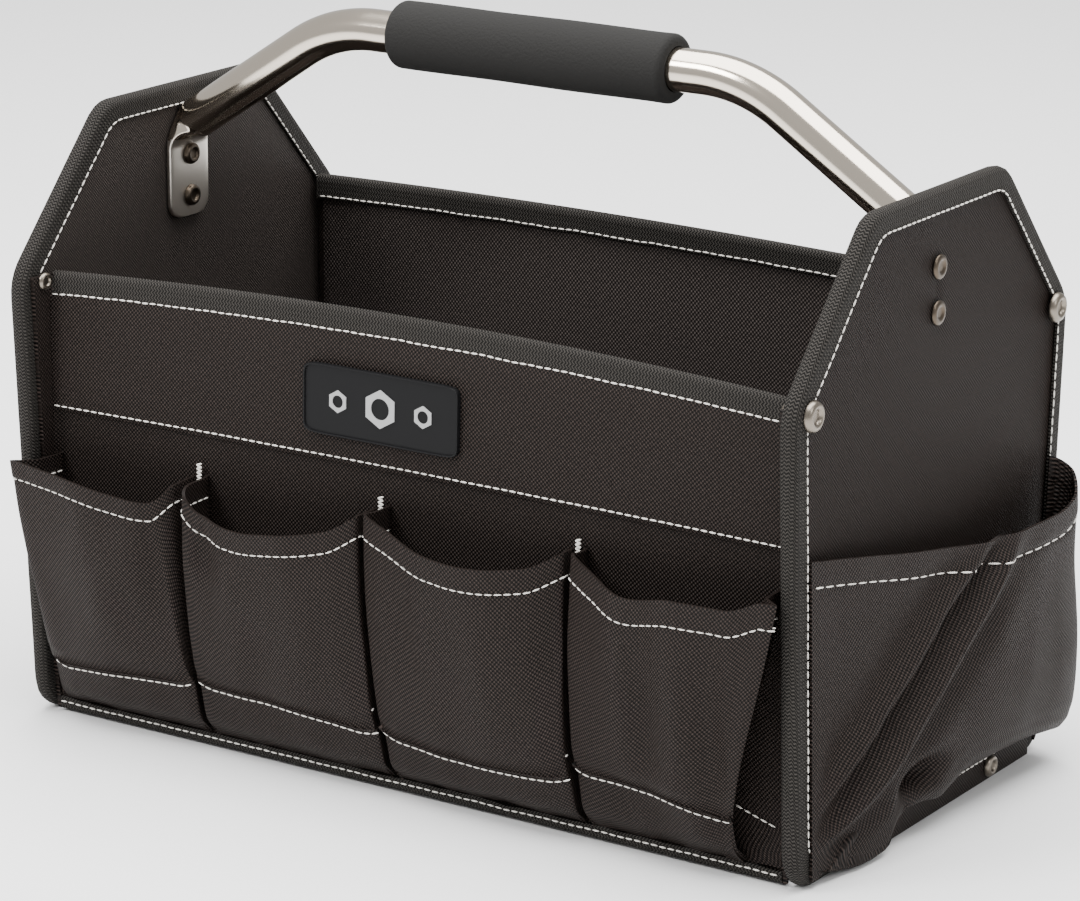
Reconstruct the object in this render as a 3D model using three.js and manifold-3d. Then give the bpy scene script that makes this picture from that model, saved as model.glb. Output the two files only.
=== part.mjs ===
// Open tool bag with a bent tube handle. Millimetres, X along the bag, front towards -Y, Z up.
// The origin is on the floor, under the middle of the bag.
import * as THREE from 'three';
import { mergeVertices } from 'three/addons/utils/BufferGeometryUtils.js';
import Module from 'manifold-3d';

const wasm = await Module();
wasm.setup();

// Driving dimensions of the end panels
const bagLength = 400;
const bagDepth = 218;
const shoulderFlare = 10;
const shoulderHeight = 205;
const apexHeight = 274;
const apexWidth = 114;
const bottomCornerRadius = 16;
const shoulderCornerRadius = 22;
const apexCornerRadius = 16;
const boardThickness = 5;

// Webbing that binds the edges, and the clearance left between any two pieces
const webbingThickness = 1.2;
const webbingCover = 10;
const seam = 0.3;

// Front and back panels, set in from the edges of the ends
const panelSetback = 9;
const panelThickness = 4;
const panelRise = 1;
const panelCrownHeight = 5;
const panelBowDepth = 5;
const flangeThickness = 2;
const flangeInset = 6;
const bandThickness = 1.2;
const bandDrop = 63.5;
const hemCover = 8;

// Base
const baseThickness = 5;
const stripThickness = 1.5;
const stripBottom = 1;
const stripHeight = 17;
const stripFrontInset = 43;
const stripBackInset = 17;

// Pockets of the long sides
const pocketWall = 1.6;
const pocketDepth = 25;
const pocketHeight = 122;
const pocketFlange = 2.5;
const pocketBellyDepth = 3;

// Pouches of the ends
const pouchWall = 1.6;
const pouchDepth = 22;
const pouchHeight = 142;
const pouchFoldHeight = 3.5;

// Handle
const tubeDiameter = 19;
const gripRise = 35;
const straightLength = 170;
const bendRadius = 73;
const tabBendRadius = 18;
const tabShoulder = 3.2;
const tabWidth = 28;
const tabThickness = 3.5;
const tabMargin = 9.5;
const tabEndRounding = 7.7;
const tabEndSweep = 84;
const tabEndFullness = 0.7;
const foamDiameter = 30;
const foamLength = 142;
const foamRounding = 2.5;

// Fasteners
const handleRivetDrop = 33;
const handleRivetSpacing = 19.5;
const handleRivetHead = 12;
const handleRivetInnerHead = 10.2;
const handleRivetShank = 4.6;
const cornerRivetDrop = 3;
const cornerRivetInset = 13;
const cornerRivetHead = 13.5;
const cornerRivetInnerHead = 8;
const cornerRivetShank = 4;
const studHeight = 7;
const studHead = 10;
const studShank = 4;
const studFrontInset = 27;
const studBackInset = 37;

// Patch
const patchLength = 80;
const patchHeight = 31;
const patchThickness = 1.6;
const patchRim = 1.6;
const patchRimRise = 0.7;
const patchCornerRadius = 3;
const patchOffset = -12;
const patchDrop = 36;

// Fineness of the curved pieces
const cornerSteps = 4;
const latheSides = 12;
const tubeSides = 12;
const foamSides = 20;
const bendSteps = 5;
const tabSteps = 7;
const tabEndSteps = 5;

// Places worked out from the dimensions, for the right end
const bindingOuter = bagLength / 2;
const panelOuter = bindingOuter - webbingThickness - seam;
const panelInner = panelOuter - boardThickness;
const bindingInner = panelInner - seam - webbingThickness;
const webEnd = bindingInner - seam;
const flangeInner = webEnd - flangeThickness;
const tabCentre = panelInner - seam - tabThickness / 2;
const gripHeight = apexHeight + gripRise;
const upperRivetHeight = apexHeight - handleRivetDrop;
const handleRivetHeights = [upperRivetHeight, upperRivetHeight - handleRivetSpacing];
const tabTop = upperRivetHeight + tabShoulder;
const tabBottom = upperRivetHeight - handleRivetSpacing - tabMargin;
const shoulderReach = bagDepth / 2 + shoulderFlare;
const bodyDepth = bagDepth - 2 * panelSetback;
const panelHeight = shoulderHeight + panelRise;
const bandBottom = panelHeight - bandDrop;
const cornerRivetHeight = shoulderHeight - cornerRivetDrop;
const stripFront = stripFrontInset - bagDepth / 2;
const stripBack = bagDepth / 2 - stripBackInset;
const studPlaces = [stripFront + studFrontInset, stripBack - studBackInset];
const cornerRivetReach = endEdge(cornerRivetHeight) - cornerRivetInset;

// Colours and finishes
const fabric = new THREE.MeshStandardMaterial({ color: 0x322d2b, roughness: 0.85, metalness: 0 });
const webbing = new THREE.MeshStandardMaterial({ color: 0x3a3b39, roughness: 0.9, metalness: 0 });
const foam = new THREE.MeshStandardMaterial({ color: 0x464646, roughness: 0.95, metalness: 0 });
const chrome = new THREE.MeshStandardMaterial({ color: 0xb9b2a8, roughness: 0.12, metalness: 1 });
const nickel = new THREE.MeshStandardMaterial({ color: 0x8f877b, roughness: 0.3, metalness: 1 });
const rubber = new THREE.MeshStandardMaterial({ color: 0x1d1d20, roughness: 0.7, metalness: 0 });

const bag = new THREE.Group();

// Reach of an end panel's edge from the middle plane, at a height below the shoulder
function endEdge(height) {
  return bagDepth / 2 + shoulderFlare * (height / shoulderHeight);
}

// Drops triangles that weld to a line, so that every edge is shared by two faces
function weld(geometry) {
  const bare = geometry.clone();
  bare.deleteAttribute('normal');
  bare.deleteAttribute('uv');
  const welded = mergeVertices(bare, 1e-4);
  const index = welded.getIndex().array;
  const kept = [];
  for (let i = 0; i < index.length; i += 3) {
    const [a, b, c] = [index[i], index[i + 1], index[i + 2]];
    if (a !== b && b !== c && c !== a) kept.push(a, b, c);
  }
  welded.setIndex(kept);
  return welded;
}

function toSolid(geometry) {
  const welded = weld(geometry);
  return new wasm.Manifold(new wasm.Mesh({
    numProp: 3,
    vertProperties: new Float32Array(welded.getAttribute('position').array),
    triVerts: new Uint32Array(welded.getIndex().array),
  }));
}

function toGeometry(solid) {
  const mesh = solid.getMesh();
  const geometry = new THREE.BufferGeometry();
  const place = new Float32Array(mesh.vertProperties);
  geometry.setAttribute('position', new THREE.BufferAttribute(place, 3));
  geometry.setIndex(new THREE.BufferAttribute(new Uint32Array(mesh.triVerts), 1));
  return geometry;
}

// Turns a closed geometry's faces outwards, where its points were laid the other way round
function facedOut(geometry) {
  const place = geometry.getAttribute('position');
  const index = Array.from(geometry.getIndex().array);
  const corner = (k) => new THREE.Vector3().fromBufferAttribute(place, index[k]);
  let volume = 0;
  for (let k = 0; k < index.length; k += 3) {
    volume += corner(k).dot(corner(k + 1).cross(corner(k + 2)));
  }
  if (volume < 0) geometry.setIndex(index.reverse());
  return geometry;
}

// A closed wall between two grids of points, columns along u and rows along v.
// With closed set, the last column joins the first.
function shell({ columns, rows, outer, inner, closed = false }) {
  const positions = [];
  for (const grid of [outer, inner]) {
    for (let j = 0; j < rows; j += 1) {
      for (let i = 0; i < columns; i += 1) positions.push(...grid(i, j).toArray());
    }
  }
  const innerStart = columns * rows;
  const at = (i, j, side) => side * innerStart + j * columns + (i % columns);
  const index = [];
  const quad = (a, b, c, d) => index.push(a, b, c, a, c, d);
  const spans = closed ? columns : columns - 1;
  for (let j = 0; j < rows - 1; j += 1) {
    for (let i = 0; i < spans; i += 1) {
      quad(at(i, j, 0), at(i + 1, j, 0), at(i + 1, j + 1, 0), at(i, j + 1, 0));
      quad(at(i, j, 1), at(i, j + 1, 1), at(i + 1, j + 1, 1), at(i + 1, j, 1));
    }
  }
  const top = rows - 1;
  for (let i = 0; i < spans; i += 1) {
    quad(at(i, 0, 0), at(i, 0, 1), at(i + 1, 0, 1), at(i + 1, 0, 0));
    quad(at(i, top, 0), at(i + 1, top, 0), at(i + 1, top, 1), at(i, top, 1));
  }
  if (!closed) {
    const end = columns - 1;
    for (let j = 0; j < rows - 1; j += 1) {
      quad(at(0, j, 0), at(0, j + 1, 0), at(0, j + 1, 1), at(0, j, 1));
      quad(at(end, j, 0), at(end, j, 1), at(end, j + 1, 1), at(end, j + 1, 0));
    }
  }
  const geometry = new THREE.BufferGeometry();
  geometry.setAttribute('position', new THREE.Float32BufferAttribute(positions, 3));
  geometry.setIndex(index);
  return facedOut(geometry);
}

// A cloth wall: its outer face is a grid of points, and its inner face lies one wall further in.
// At a fold the step inwards is lengthened, so that the wall keeps its thickness.
function clothWall({ columns, rows, face, wall, limit = (point) => point }) {
  const points = [];
  for (let j = 0; j < rows; j += 1) {
    points.push([]);
    for (let i = 0; i < columns; i += 1) points[j].push(face(i, j));
  }
  const cellNormal = (i, j) => {
    const across = points[j + 1][i + 1].clone().sub(points[j][i]);
    const other = points[j + 1][i].clone().sub(points[j][i + 1]);
    return across.cross(other).normalize();
  };
  const inner = (i, j) => {
    const normals = [];
    for (const [di, dj] of [[-1, -1], [0, -1], [-1, 0], [0, 0]]) {
      const [ci, cj] = [i + di, j + dj];
      if (ci >= 0 && cj >= 0 && ci < columns - 1 && cj < rows - 1) normals.push(cellNormal(ci, cj));
    }
    const mean = normals.reduce((sum, normal) => sum.add(normal), new THREE.Vector3()).normalize();
    const lean = normals.reduce((sum, normal) => sum + normal.dot(mean), 0) / normals.length;
    const step = wall / Math.max(lean, 0.7);
    return limit(points[j][i].clone().addScaledVector(mean, -step));
  };
  return shell({ columns, rows, outer: (i, j) => points[j][i].clone(), inner });
}

// Value at a share of the way along a short table of evenly or unevenly placed rows
function along(table, column, share) {
  const last = table.length - 1;
  if (share <= table[0].at) return table[0][column];
  for (let k = 0; k < last; k += 1) {
    const [here, next] = [table[k], table[k + 1]];
    if (share <= next.at) {
      return THREE.MathUtils.lerp(here[column], next[column], (share - here.at) / (next.at - here.at));
    }
  }
  return table[last][column];
}

// Turned solid on an axis along X, from a profile of [radius, place] pairs that starts and ends on the axis
function turned(profile, sides, y, z) {
  const points = profile.map(([radius, place]) => new THREE.Vector2(radius, place));
  const geometry = new THREE.LatheGeometry(points, sides);
  geometry.rotateZ(-Math.PI / 2);
  geometry.translate(0, y, z);
  return facedOut(weld(geometry));
}

// Straight round cutter along X, between two places
function cutter(diameter, from, to, y, z) {
  const radius = diameter / 2 + seam;
  return toSolid(turned([[0, from], [radius, from], [radius, to], [0, to]], latheSides, y, z));
}

function add(name, geometry, material, halfTurn = false) {
  const mesh = new THREE.Mesh(geometry, material);
  mesh.name = name;
  if (halfTurn) mesh.rotation.z = Math.PI;
  bag.add(mesh);
}

// The back repeats the front half a turn about Z, so its pieces are made once and used twice
function addPair(name, turnedName, geometry, material) {
  add(name, geometry, material);
  add(turnedName, geometry, material, true);
}

// The left end is the mirror image of the right one
function addEnds(name, leftName, geometry, material) {
  add(name, geometry, material);
  add(leftName, facedOut(geometry.clone().scale(-1, 1, 1)), material);
}

// End panel outline in Y and Z, moved inwards by an inset, with the same number of points each time
function endOutline(inset) {
  const corners = [
    { y: -bagDepth / 2, z: 0, radius: bottomCornerRadius },
    { y: bagDepth / 2, z: 0, radius: bottomCornerRadius },
    { y: shoulderReach, z: shoulderHeight, radius: shoulderCornerRadius },
    { y: apexWidth / 2, z: apexHeight, radius: apexCornerRadius },
    { y: -apexWidth / 2, z: apexHeight, radius: apexCornerRadius },
    { y: -shoulderReach, z: shoulderHeight, radius: shoulderCornerRadius },
  ];
  const outline = [];
  corners.forEach((corner, k) => {
    const before = corners[(k + corners.length - 1) % corners.length];
    const after = corners[(k + 1) % corners.length];
    const here = new THREE.Vector2(corner.y, corner.z);
    const toBefore = new THREE.Vector2(before.y, before.z).sub(here).normalize();
    const toAfter = new THREE.Vector2(after.y, after.z).sub(here).normalize();
    const half = Math.acos(toBefore.dot(toAfter)) / 2;
    const middle = toBefore.clone().add(toAfter).normalize();
    const radius = Math.max(corner.radius - inset, 1);
    const centre = here.clone().addScaledVector(middle, (inset + radius) / Math.sin(half));
    const sweep = Math.PI - 2 * half;
    for (let step = 0; step <= cornerSteps; step += 1) {
      const turn = sweep * (step / cornerSteps - 0.5);
      const arm = middle.clone().negate().rotateAround(new THREE.Vector2(), turn);
      outline.push(arm.multiplyScalar(radius).add(centre));
    }
  });
  return outline;
}

// A flat outline in Y and Z, given a thickness along X
function plateAcrossX(shape, from, to) {
  const options = { depth: to - from, bevelEnabled: false, curveSegments: latheSides / 2 };
  const geometry = new THREE.ExtrudeGeometry(shape, options);
  geometry.applyMatrix4(new THREE.Matrix4().makeBasis(
    new THREE.Vector3(0, 1, 0), new THREE.Vector3(0, 0, 1), new THREE.Vector3(1, 0, 0)));
  geometry.translate(from, 0, 0);
  return geometry;
}

function roundHole(diameter, y, z) {
  const hole = new THREE.Path();
  hole.absarc(y, z, diameter / 2 + seam, 0, Math.PI * 2, true);
  return hole;
}

// End panels: stiff boards with rivet holes, right one first
function makeEndPanel() {
  const shape = new THREE.Shape(endOutline(webbingThickness + seam));
  for (const z of handleRivetHeights) shape.holes.push(roundHole(handleRivetShank, 0, z));
  for (const side of [-1, 1]) {
    shape.holes.push(roundHole(cornerRivetShank, side * cornerRivetReach, cornerRivetHeight));
  }
  for (const y of studPlaces) shape.holes.push(roundHole(studShank, y, studHeight));
  return weld(plateAcrossX(shape, panelInner, panelOuter));
}

// Webbing folded round the whole edge of an end panel, cut for the studs and the corner rivets
function makeEndBinding() {
  const insets = [webbingCover, 0, 0, webbingCover];
  const outlines = insets.map((inset) => endOutline(inset));
  const inlines = insets.map((inset) => endOutline(inset || webbingThickness));
  const places = [bindingOuter, bindingOuter, bindingInner, bindingInner];
  const steps = [-webbingThickness, -webbingThickness, webbingThickness, webbingThickness];
  const point = (outline, x) => new THREE.Vector3(x, outline.x, outline.y);
  const ring = shell({
    columns: outlines[0].length,
    rows: outlines.length,
    closed: true,
    outer: (i, j) => point(outlines[j][i], places[j]),
    inner: (i, j) => point(inlines[j][i], places[j] + steps[j]),
  });
  const [from, to] = [bindingInner - webbingThickness, bindingOuter + webbingThickness];
  const studs = studPlaces.map((y) => cutter(studShank, from, to, y, studHeight));
  const corners = [-1, 1].map(
    (side) => cutter(cornerRivetShank, from, to, side * cornerRivetReach, cornerRivetHeight));
  return toGeometry([...studs, ...corners].reduce((solid, hole) => solid.subtract(hole), toSolid(ring)));
}

// How far along the half panel a point is, squared: the crown and the bow fade out with it
function fade(x) {
  return 1 - (x / webEnd) ** 2;
}

// Outer face of the front panel, and the height of its raw top edge
function panelFace(x, z) {
  return -bodyDepth / 2 + panelBowDepth * fade(x) * (z / panelHeight);
}

function panelTop(x) {
  return panelHeight - webbingThickness - seam + panelCrownHeight * fade(x);
}

const panelBottom = webbingThickness + seam;
const panelColumns = 11;
const coverEnd = flangeInner - seam;
const panelPlace = (i, reach) => THREE.MathUtils.lerp(-reach, reach, i / (panelColumns - 1));

// Front panel: a padded board with a flange turned forwards at each end, riveted to the end panel
function makePanel() {
  const columns = panelColumns + 2;
  const rows = 5;
  const place = (i) => {
    if (i === 0) return -webEnd;
    return i === columns - 1 ? webEnd : panelPlace(i - 1, coverEnd);
  };
  const point = (i, j, inset) => {
    const x = place(i);
    const z = THREE.MathUtils.lerp(panelBottom, panelTop(x), j / (rows - 1));
    return new THREE.Vector3(x, panelFace(x, z) + inset, z);
  };
  const web = toSolid(shell({
    columns,
    rows,
    outer: (i, j) => point(i, j, 0),
    inner: (i, j) => point(i, j, panelThickness),
  }));
  const back = -bodyDepth / 2 + panelThickness / 2;
  const [foot, top] = [bottomCornerRadius, panelTop(webEnd)];
  const flangeShape = new THREE.Shape([
    new THREE.Vector2(flangeInset - endEdge(foot), foot),
    new THREE.Vector2(back, foot),
    new THREE.Vector2(back, top),
    new THREE.Vector2(flangeInset - endEdge(top), top),
  ]);
  flangeShape.holes.push(roundHole(cornerRivetShank, -cornerRivetReach, cornerRivetHeight));
  const right = toSolid(plateAcrossX(flangeShape, flangeInner, webEnd));
  const left = toSolid(plateAcrossX(flangeShape, -webEnd, -flangeInner));
  return toGeometry(web.add(right).add(left));
}

// Webbing folded over an edge of the panel: three runs of cloth, outer leg, edge and inner leg
function makeEdgeWebbing(edge, cover, sign) {
  const rows = [
    { side: 0, down: 1 },
    { side: 0, down: 0 },
    { side: 1, down: 0 },
    { side: 1, down: 1 },
  ];
  const point = (i, j, shrink) => {
    const x = panelPlace(i, coverEnd);
    const { side, down } = rows[j];
    const raw = edge(x);
    const reach = seam + webbingThickness - shrink;
    const z = down ? raw - sign * cover : raw + sign * reach;
    const y = panelFace(x, z) + (side ? panelThickness + reach : -reach);
    return new THREE.Vector3(x, y, z);
  };
  return shell({
    columns: panelColumns,
    rows: rows.length,
    outer: (i, j) => point(i, sign > 0 ? j : rows.length - 1 - j, 0),
    inner: (i, j) => point(i, sign > 0 ? j : rows.length - 1 - j, webbingThickness),
  });
}

// Second layer of fabric over the upper part of the panel, between the flanges
function makeBand() {
  const top = (x) => panelTop(x) - webbingCover - seam;
  const point = (i, j, lift) => {
    const x = panelPlace(i, coverEnd);
    const z = j === 0 ? bandBottom : top(x);
    return new THREE.Vector3(x, panelFace(x, z) - seam - lift, z);
  };
  return shell({
    columns: panelColumns,
    rows: 2,
    outer: (i, j) => point(i, j, bandThickness),
    inner: (i, j) => point(i, j, 0),
  });
}

// Pockets of a long side, left to right. Left and right are the sewn lines as shares of the half panel.
// The folds stand off those lines, at the rim and at the foot, by shares of the pocket depth.
// Rim heights at the left fold, in the middle and at the right fold are shares of the pocket height.
const pocketTable = [
  {
    left: -1, right: -0.575, rims: [1.02, 0.98, 0.95],
    topLeft: -0.3, topRight: 0.5, footLeft: 0.35, footRight: 0.12,
  },
  {
    left: -0.575, right: -0.065, rims: [0.97, 0.965, 1.01],
    topLeft: 0.26, topRight: 0.12, footLeft: 0.12, footRight: 0.1,
  },
  {
    left: -0.065, right: 0.465, rims: [1.04, 0.965, 1],
    topLeft: 0.1, topRight: 0.1, footLeft: 0.1, footRight: 0.12,
  },
  {
    left: 0.465, right: 1, rims: [1.03, 0.985, 1.03],
    topLeft: 0.12, topRight: -0.3, footLeft: 0.12, footRight: 0.8,
  },
];
const tackRim = 1.04;

// Height up the pocket, depth out from the panel, and how far the folds have gone from foot to rim
const pocketRows = [
  { at: 0, depth: 0.064, fold: 0 },
  { at: 0.06, depth: 0.4, fold: 0 },
  { at: 0.175, depth: 0.62, fold: 0 },
  { at: 0.2, depth: 0.72, fold: 0.05 },
  { at: 0.45, depth: 0.9, fold: 0.35 },
  { at: 0.8, depth: 1, fold: 0.8 },
  { at: 1, depth: 1, fold: 1 },
];

// Stations across a pocket: from which fold they are placed, and how far out they stand
const pocketStations = [
  { from: 'left', share: 0, depth: 'flange' },
  { from: 'left', share: 0, depth: 'foot' },
  { from: 'left', share: 0.5, depth: 0.62 },
  { from: 'left', share: 1, depth: 0.93 },
  { from: 'face', share: 0.12, depth: 1 },
  { from: 'face', share: 0.5, depth: 1 },
  { from: 'face', share: 0.88, depth: 1 },
  { from: 'right', share: 1, depth: 0.93 },
  { from: 'right', share: 0.5, depth: 0.62 },
  { from: 'right', share: 0, depth: 'foot' },
  { from: 'right', share: 0, depth: 'flange' },
];

function makePocket(pocket) {
  const half = coverEnd;
  const leftLine = pocket.left * half + seam / 2;
  const rightLine = pocket.right * half - seam / 2;
  const { lerp } = THREE.MathUtils;
  const bottom = panelBottom + hemCover + seam;
  const rimTable = [
    { at: 0, rim: tackRim },
    { at: 0.15, rim: pocket.rims[0] },
    { at: 0.5, rim: pocket.rims[1] },
    { at: 0.85, rim: pocket.rims[2] },
    { at: 1, rim: tackRim },
  ];
  const face = (i, j) => {
    const station = pocketStations[i];
    const row = pocketRows[j];
    const foldLeft = leftLine + pocketDepth * lerp(pocket.footLeft, pocket.topLeft, row.fold);
    const foldRight = rightLine - pocketDepth * lerp(pocket.footRight, pocket.topRight, row.fold);
    const flange = station.depth === 'flange' ? 0 : pocketFlange;
    let x = lerp(foldLeft, foldRight, station.share);
    if (station.from === 'left') x = lerp(leftLine + flange, foldLeft, station.share ** 3);
    if (station.from === 'right') x = lerp(rightLine - flange, foldRight, station.share ** 3);
    const rim = along(rimTable, 'rim', (x - leftLine) / (rightLine - leftLine)) * pocketHeight;
    const z = lerp(bottom, rim, row.at);
    const flat = typeof station.depth === 'string';
    const out = flat ? pocketWall : Math.max(pocketWall, pocketDepth * row.depth * station.depth);
    const belly = station.from === 'face' && station.share === 0.5 ? pocketBellyDepth * row.depth * row.at : 0;
    return new THREE.Vector3(x, panelFace(x, z) - seam - out - belly, z);
  };
  const limit = (point) => {
    point.y = Math.min(point.y, panelFace(point.x, point.z) - seam);
    return point;
  };
  return clothWall({ columns: pocketStations.length, rows: pocketRows.length, face, wall: pocketWall, limit });
}

// Stations along an end pouch, front to back: place as a share of its length, depth of the bulge,
// and the heights of its rim and of its lowest fold as shares of the pouch height
const pouchStations = [
  { at: 0, depth: 0, rim: 1, foot: 0.07 },
  { at: 0.06, depth: 0.1, rim: 0.985, foot: 0.03 },
  { at: 0.16, depth: 0.3, rim: 0.96, foot: 0.02 },
  { at: 0.28, depth: 0.46, rim: 0.925, foot: 0.06 },
  { at: 0.4, depth: 0.62, rim: 0.895, foot: 0.13 },
  { at: 0.52, depth: 0.76, rim: 0.865, foot: 0.14 },
  { at: 0.64, depth: 0.88, rim: 0.845, foot: 0.16 },
  { at: 0.76, depth: 0.96, rim: 0.835, foot: 0.17 },
  { at: 0.88, depth: 1, rim: 0.835, foot: 0.15 },
  { at: 0.97, depth: 0.97, rim: 0.86, foot: 0.12 },
  { at: 1.02, depth: 0.6, rim: 0.93, foot: 0.12 },
  { at: 1, depth: 0.2, rim: 0.965, foot: 0.12 },
  { at: 0.985, depth: 0, rim: 0.97, foot: 0.12 },
];

// Rows up an end pouch: height between its lowest fold and its rim, share of the bulge, share of the folds.
// The two lowest rows are the underside, tucked back against the end above the base strip.
const pouchRows = [
  { under: 0.4, out: 0 },
  { under: 0.7, out: 0.6 },
  { at: 0, bulge: 0.9, folds: 0.3 },
  { at: 0.1, bulge: 1.08, folds: 0.7 },
  { at: 0.26, bulge: 1.1, folds: 1 },
  { at: 0.44, bulge: 1.04, folds: 1 },
  { at: 0.62, bulge: 0.96, folds: 1 },
  { at: 0.8, bulge: 0.9, folds: 0.9 },
  { at: 1, bulge: 0.86, folds: 0.6 },
];

// Ridges that fan out from the lower front corner: slope of the ridge, its width and its rise
const pouchFolds = [
  { slope: 0.55, width: 0.07, rise: 0.7 },
  { slope: 0.78, width: 0.07, rise: 1 },
  { slope: 1.05, width: 0.08, rise: 0.9 },
];

function makePouch() {
  const { lerp, smoothstep } = THREE.MathUtils;
  const edge = (z) => endEdge(z) - webbingCover - seam;
  const tuck = stripBottom + stripHeight + seam;
  const base = bindingOuter + seam;
  const stripFace = stripThickness + seam;
  const face = (i, j) => {
    const station = pouchStations[i];
    const row = pouchRows[j];
    const foot = station.foot * pouchHeight;
    const rim = station.rim * pouchHeight;
    if (row.under) {
      const open = smoothstep(station.depth, 0, 0.3);
      const z = lerp(foot * row.under, tuck, open);
      const reach = row.out ? Math.max(pouchDepth * station.depth * row.out, stripFace + pouchWall) : 0;
      return new THREE.Vector3(base + lerp(pouchWall, reach, open), lerp(-edge(z), edge(z), station.at), z);
    }
    const z = lerp(foot, rim, row.at);
    const y = lerp(-edge(z), edge(z), station.at);
    const slope = row.at / Math.max(station.at, 0.05);
    const ridge = pouchFolds.reduce(
      (sum, fold) => sum + fold.rise * Math.exp(-(((slope - fold.slope) / fold.width) ** 2) / 2), 0);
    const swell = Math.sin(Math.PI * Math.min(station.at, 1));
    const out = pouchDepth * station.depth * row.bulge + pouchFoldHeight * ridge * row.folds * swell;
    return new THREE.Vector3(base + pouchWall + out, y, z);
  };
  const limit = (point) => {
    point.x = Math.max(point.x, base);
    return point;
  };
  return clothWall({ columns: pouchStations.length, rows: pouchRows.length, face, wall: pouchWall, limit });
}

// Half of the handle's middle line, from the grip down to the end of the tab, with the size of its section
// The slope between the two bends is the line that touches both of their circles.
function handleStations() {
  const across = tabCentre - straightLength / 2 - tabBendRadius;
  const down = gripHeight - tabTop - bendRadius;
  const spread = bendRadius - tabBendRadius;
  const slopeRun = Math.sqrt(across ** 2 + down ** 2 - spread ** 2);
  const bendAngle = Math.atan2(down, across) + Math.atan2(spread, slopeRun);
  const stations = [];
  let place = new THREE.Vector2(0, gripHeight);
  const put = (heading, half, width) => stations.push({ place: place.clone(), heading, half, width });
  const run = (heading, length) => {
    place = place.clone().add(new THREE.Vector2(Math.cos(heading), -Math.sin(heading)).multiplyScalar(length));
  };
  const radius = tubeDiameter / 2;
  const round = (heading) => put(heading, radius, radius);
  round(0);
  run(0, straightLength / 2);
  for (let step = 0; step <= bendSteps; step += 1) {
    const heading = bendAngle * (step / bendSteps);
    if (step > 0) run(heading - bendAngle / bendSteps / 2, 2 * bendRadius * Math.sin(bendAngle / bendSteps / 2));
    round(heading);
  }
  run(bendAngle, slopeRun);
  const tabTurn = (Math.PI / 2 - bendAngle) / tabSteps;
  for (let step = 0; step <= tabSteps; step += 1) {
    const heading = bendAngle + tabTurn * step;
    if (step > 0) run(heading - tabTurn / 2, 2 * tabBendRadius * Math.sin(tabTurn / 2));
    const room = panelInner - seam - place.x;
    const half = Math.min(radius, room / Math.sin(heading));
    const pressed = (radius - half) / (radius - tabThickness / 2);
    put(heading, half, THREE.MathUtils.lerp(radius, tabWidth / 2, pressed));
  }
  for (let step = 0; step <= tabEndSteps; step += 1) {
    const turn = THREE.MathUtils.degToRad(tabEndSweep) * (step / tabEndSteps);
    place = new THREE.Vector2(place.x, tabBottom + tabEndRounding * (1 - Math.sin(turn)));
    put(Math.PI / 2, tabThickness / 2, (tabWidth / 2) * Math.cos(turn) ** tabEndFullness);
  }
  return stations;
}

// Section round a station, from a circle to a flat bar with round edges as the tube is pressed
const barPower = 0.35;

function handleSection(station, side) {
  const radius = tubeDiameter / 2;
  const pressed = (radius - station.half) / (radius - tabThickness / 2);
  const power = THREE.MathUtils.lerp(1, barPower, Math.max(pressed, 0));
  const section = [];
  for (let k = 0; k < tubeSides; k += 1) {
    const angle = (Math.PI * 2 * (k + 0.5)) / tubeSides;
    const soften = (value) => Math.sign(value) * Math.abs(value) ** power;
    const across = station.width * soften(Math.cos(angle));
    const out = station.half * soften(Math.sin(angle));
    const x = station.place.x + out * Math.sin(station.heading);
    const z = station.place.y + out * Math.cos(station.heading);
    section.push(new THREE.Vector3(side * x, across, z));
  }
  return section;
}

function makeHandleTube() {
  const stations = handleStations();
  const left = stations.slice(1).reverse().map((station) => handleSection(station, -1));
  const right = stations.map((station) => handleSection(station, 1));
  const loops = [...left, ...right];
  const positions = loops.flat().flatMap((point) => point.toArray());
  const index = [];
  for (let j = 0; j < loops.length - 1; j += 1) {
    for (let k = 0; k < tubeSides; k += 1) {
      const next = (k + 1) % tubeSides;
      const [a, b] = [j * tubeSides + k, j * tubeSides + next];
      const [c, d] = [b + tubeSides, a + tubeSides];
      index.push(a, c, b, a, d, c);
    }
  }
  for (let k = 1; k < tubeSides - 1; k += 1) {
    const last = (loops.length - 1) * tubeSides;
    index.push(0, k, k + 1);
    index.push(last, last + k + 1, last + k);
  }
  const geometry = new THREE.BufferGeometry();
  geometry.setAttribute('position', new THREE.Float32BufferAttribute(positions, 3));
  geometry.setIndex(index);
  let solid = toSolid(facedOut(geometry));
  for (const side of [-1, 1]) {
    for (const z of handleRivetHeights) {
      const [from, to] = [side * tabCentre - tabThickness, side * tabCentre + tabThickness];
      solid = solid.subtract(cutter(handleRivetShank, from, to, 0, z));
    }
  }
  return toGeometry(solid);
}

function makeFoamGrip() {
  const bore = tubeDiameter / 2 + seam;
  const outer = foamDiameter / 2;
  const end = foamLength / 2;
  const profile = [
    [bore, -end], [outer - foamRounding, -end], [outer, foamRounding - end],
    [outer, end - foamRounding], [outer - foamRounding, end], [bore, end], [bore, -end],
  ];
  return turned(profile, foamSides, 0, gripHeight);
}

// Heads of a rivet from the axis outwards: shares of the head's radius and of its rise
const outerRise = 0.2;
const innerRise = 0.3;
const outerCup = [
  { radius: 0, rise: 0.7 },
  { radius: 0.45, rise: 0.7 },
  { radius: 0.65, rise: 1 },
  { radius: 1, rise: 0.35 },
  { radius: 1, rise: 0 },
];
const innerCup = [
  { radius: 1, rise: 0 },
  { radius: 1, rise: 0.6 },
  { radius: 0.7, rise: 1 },
  { radius: 0, rise: 1 },
];

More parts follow.
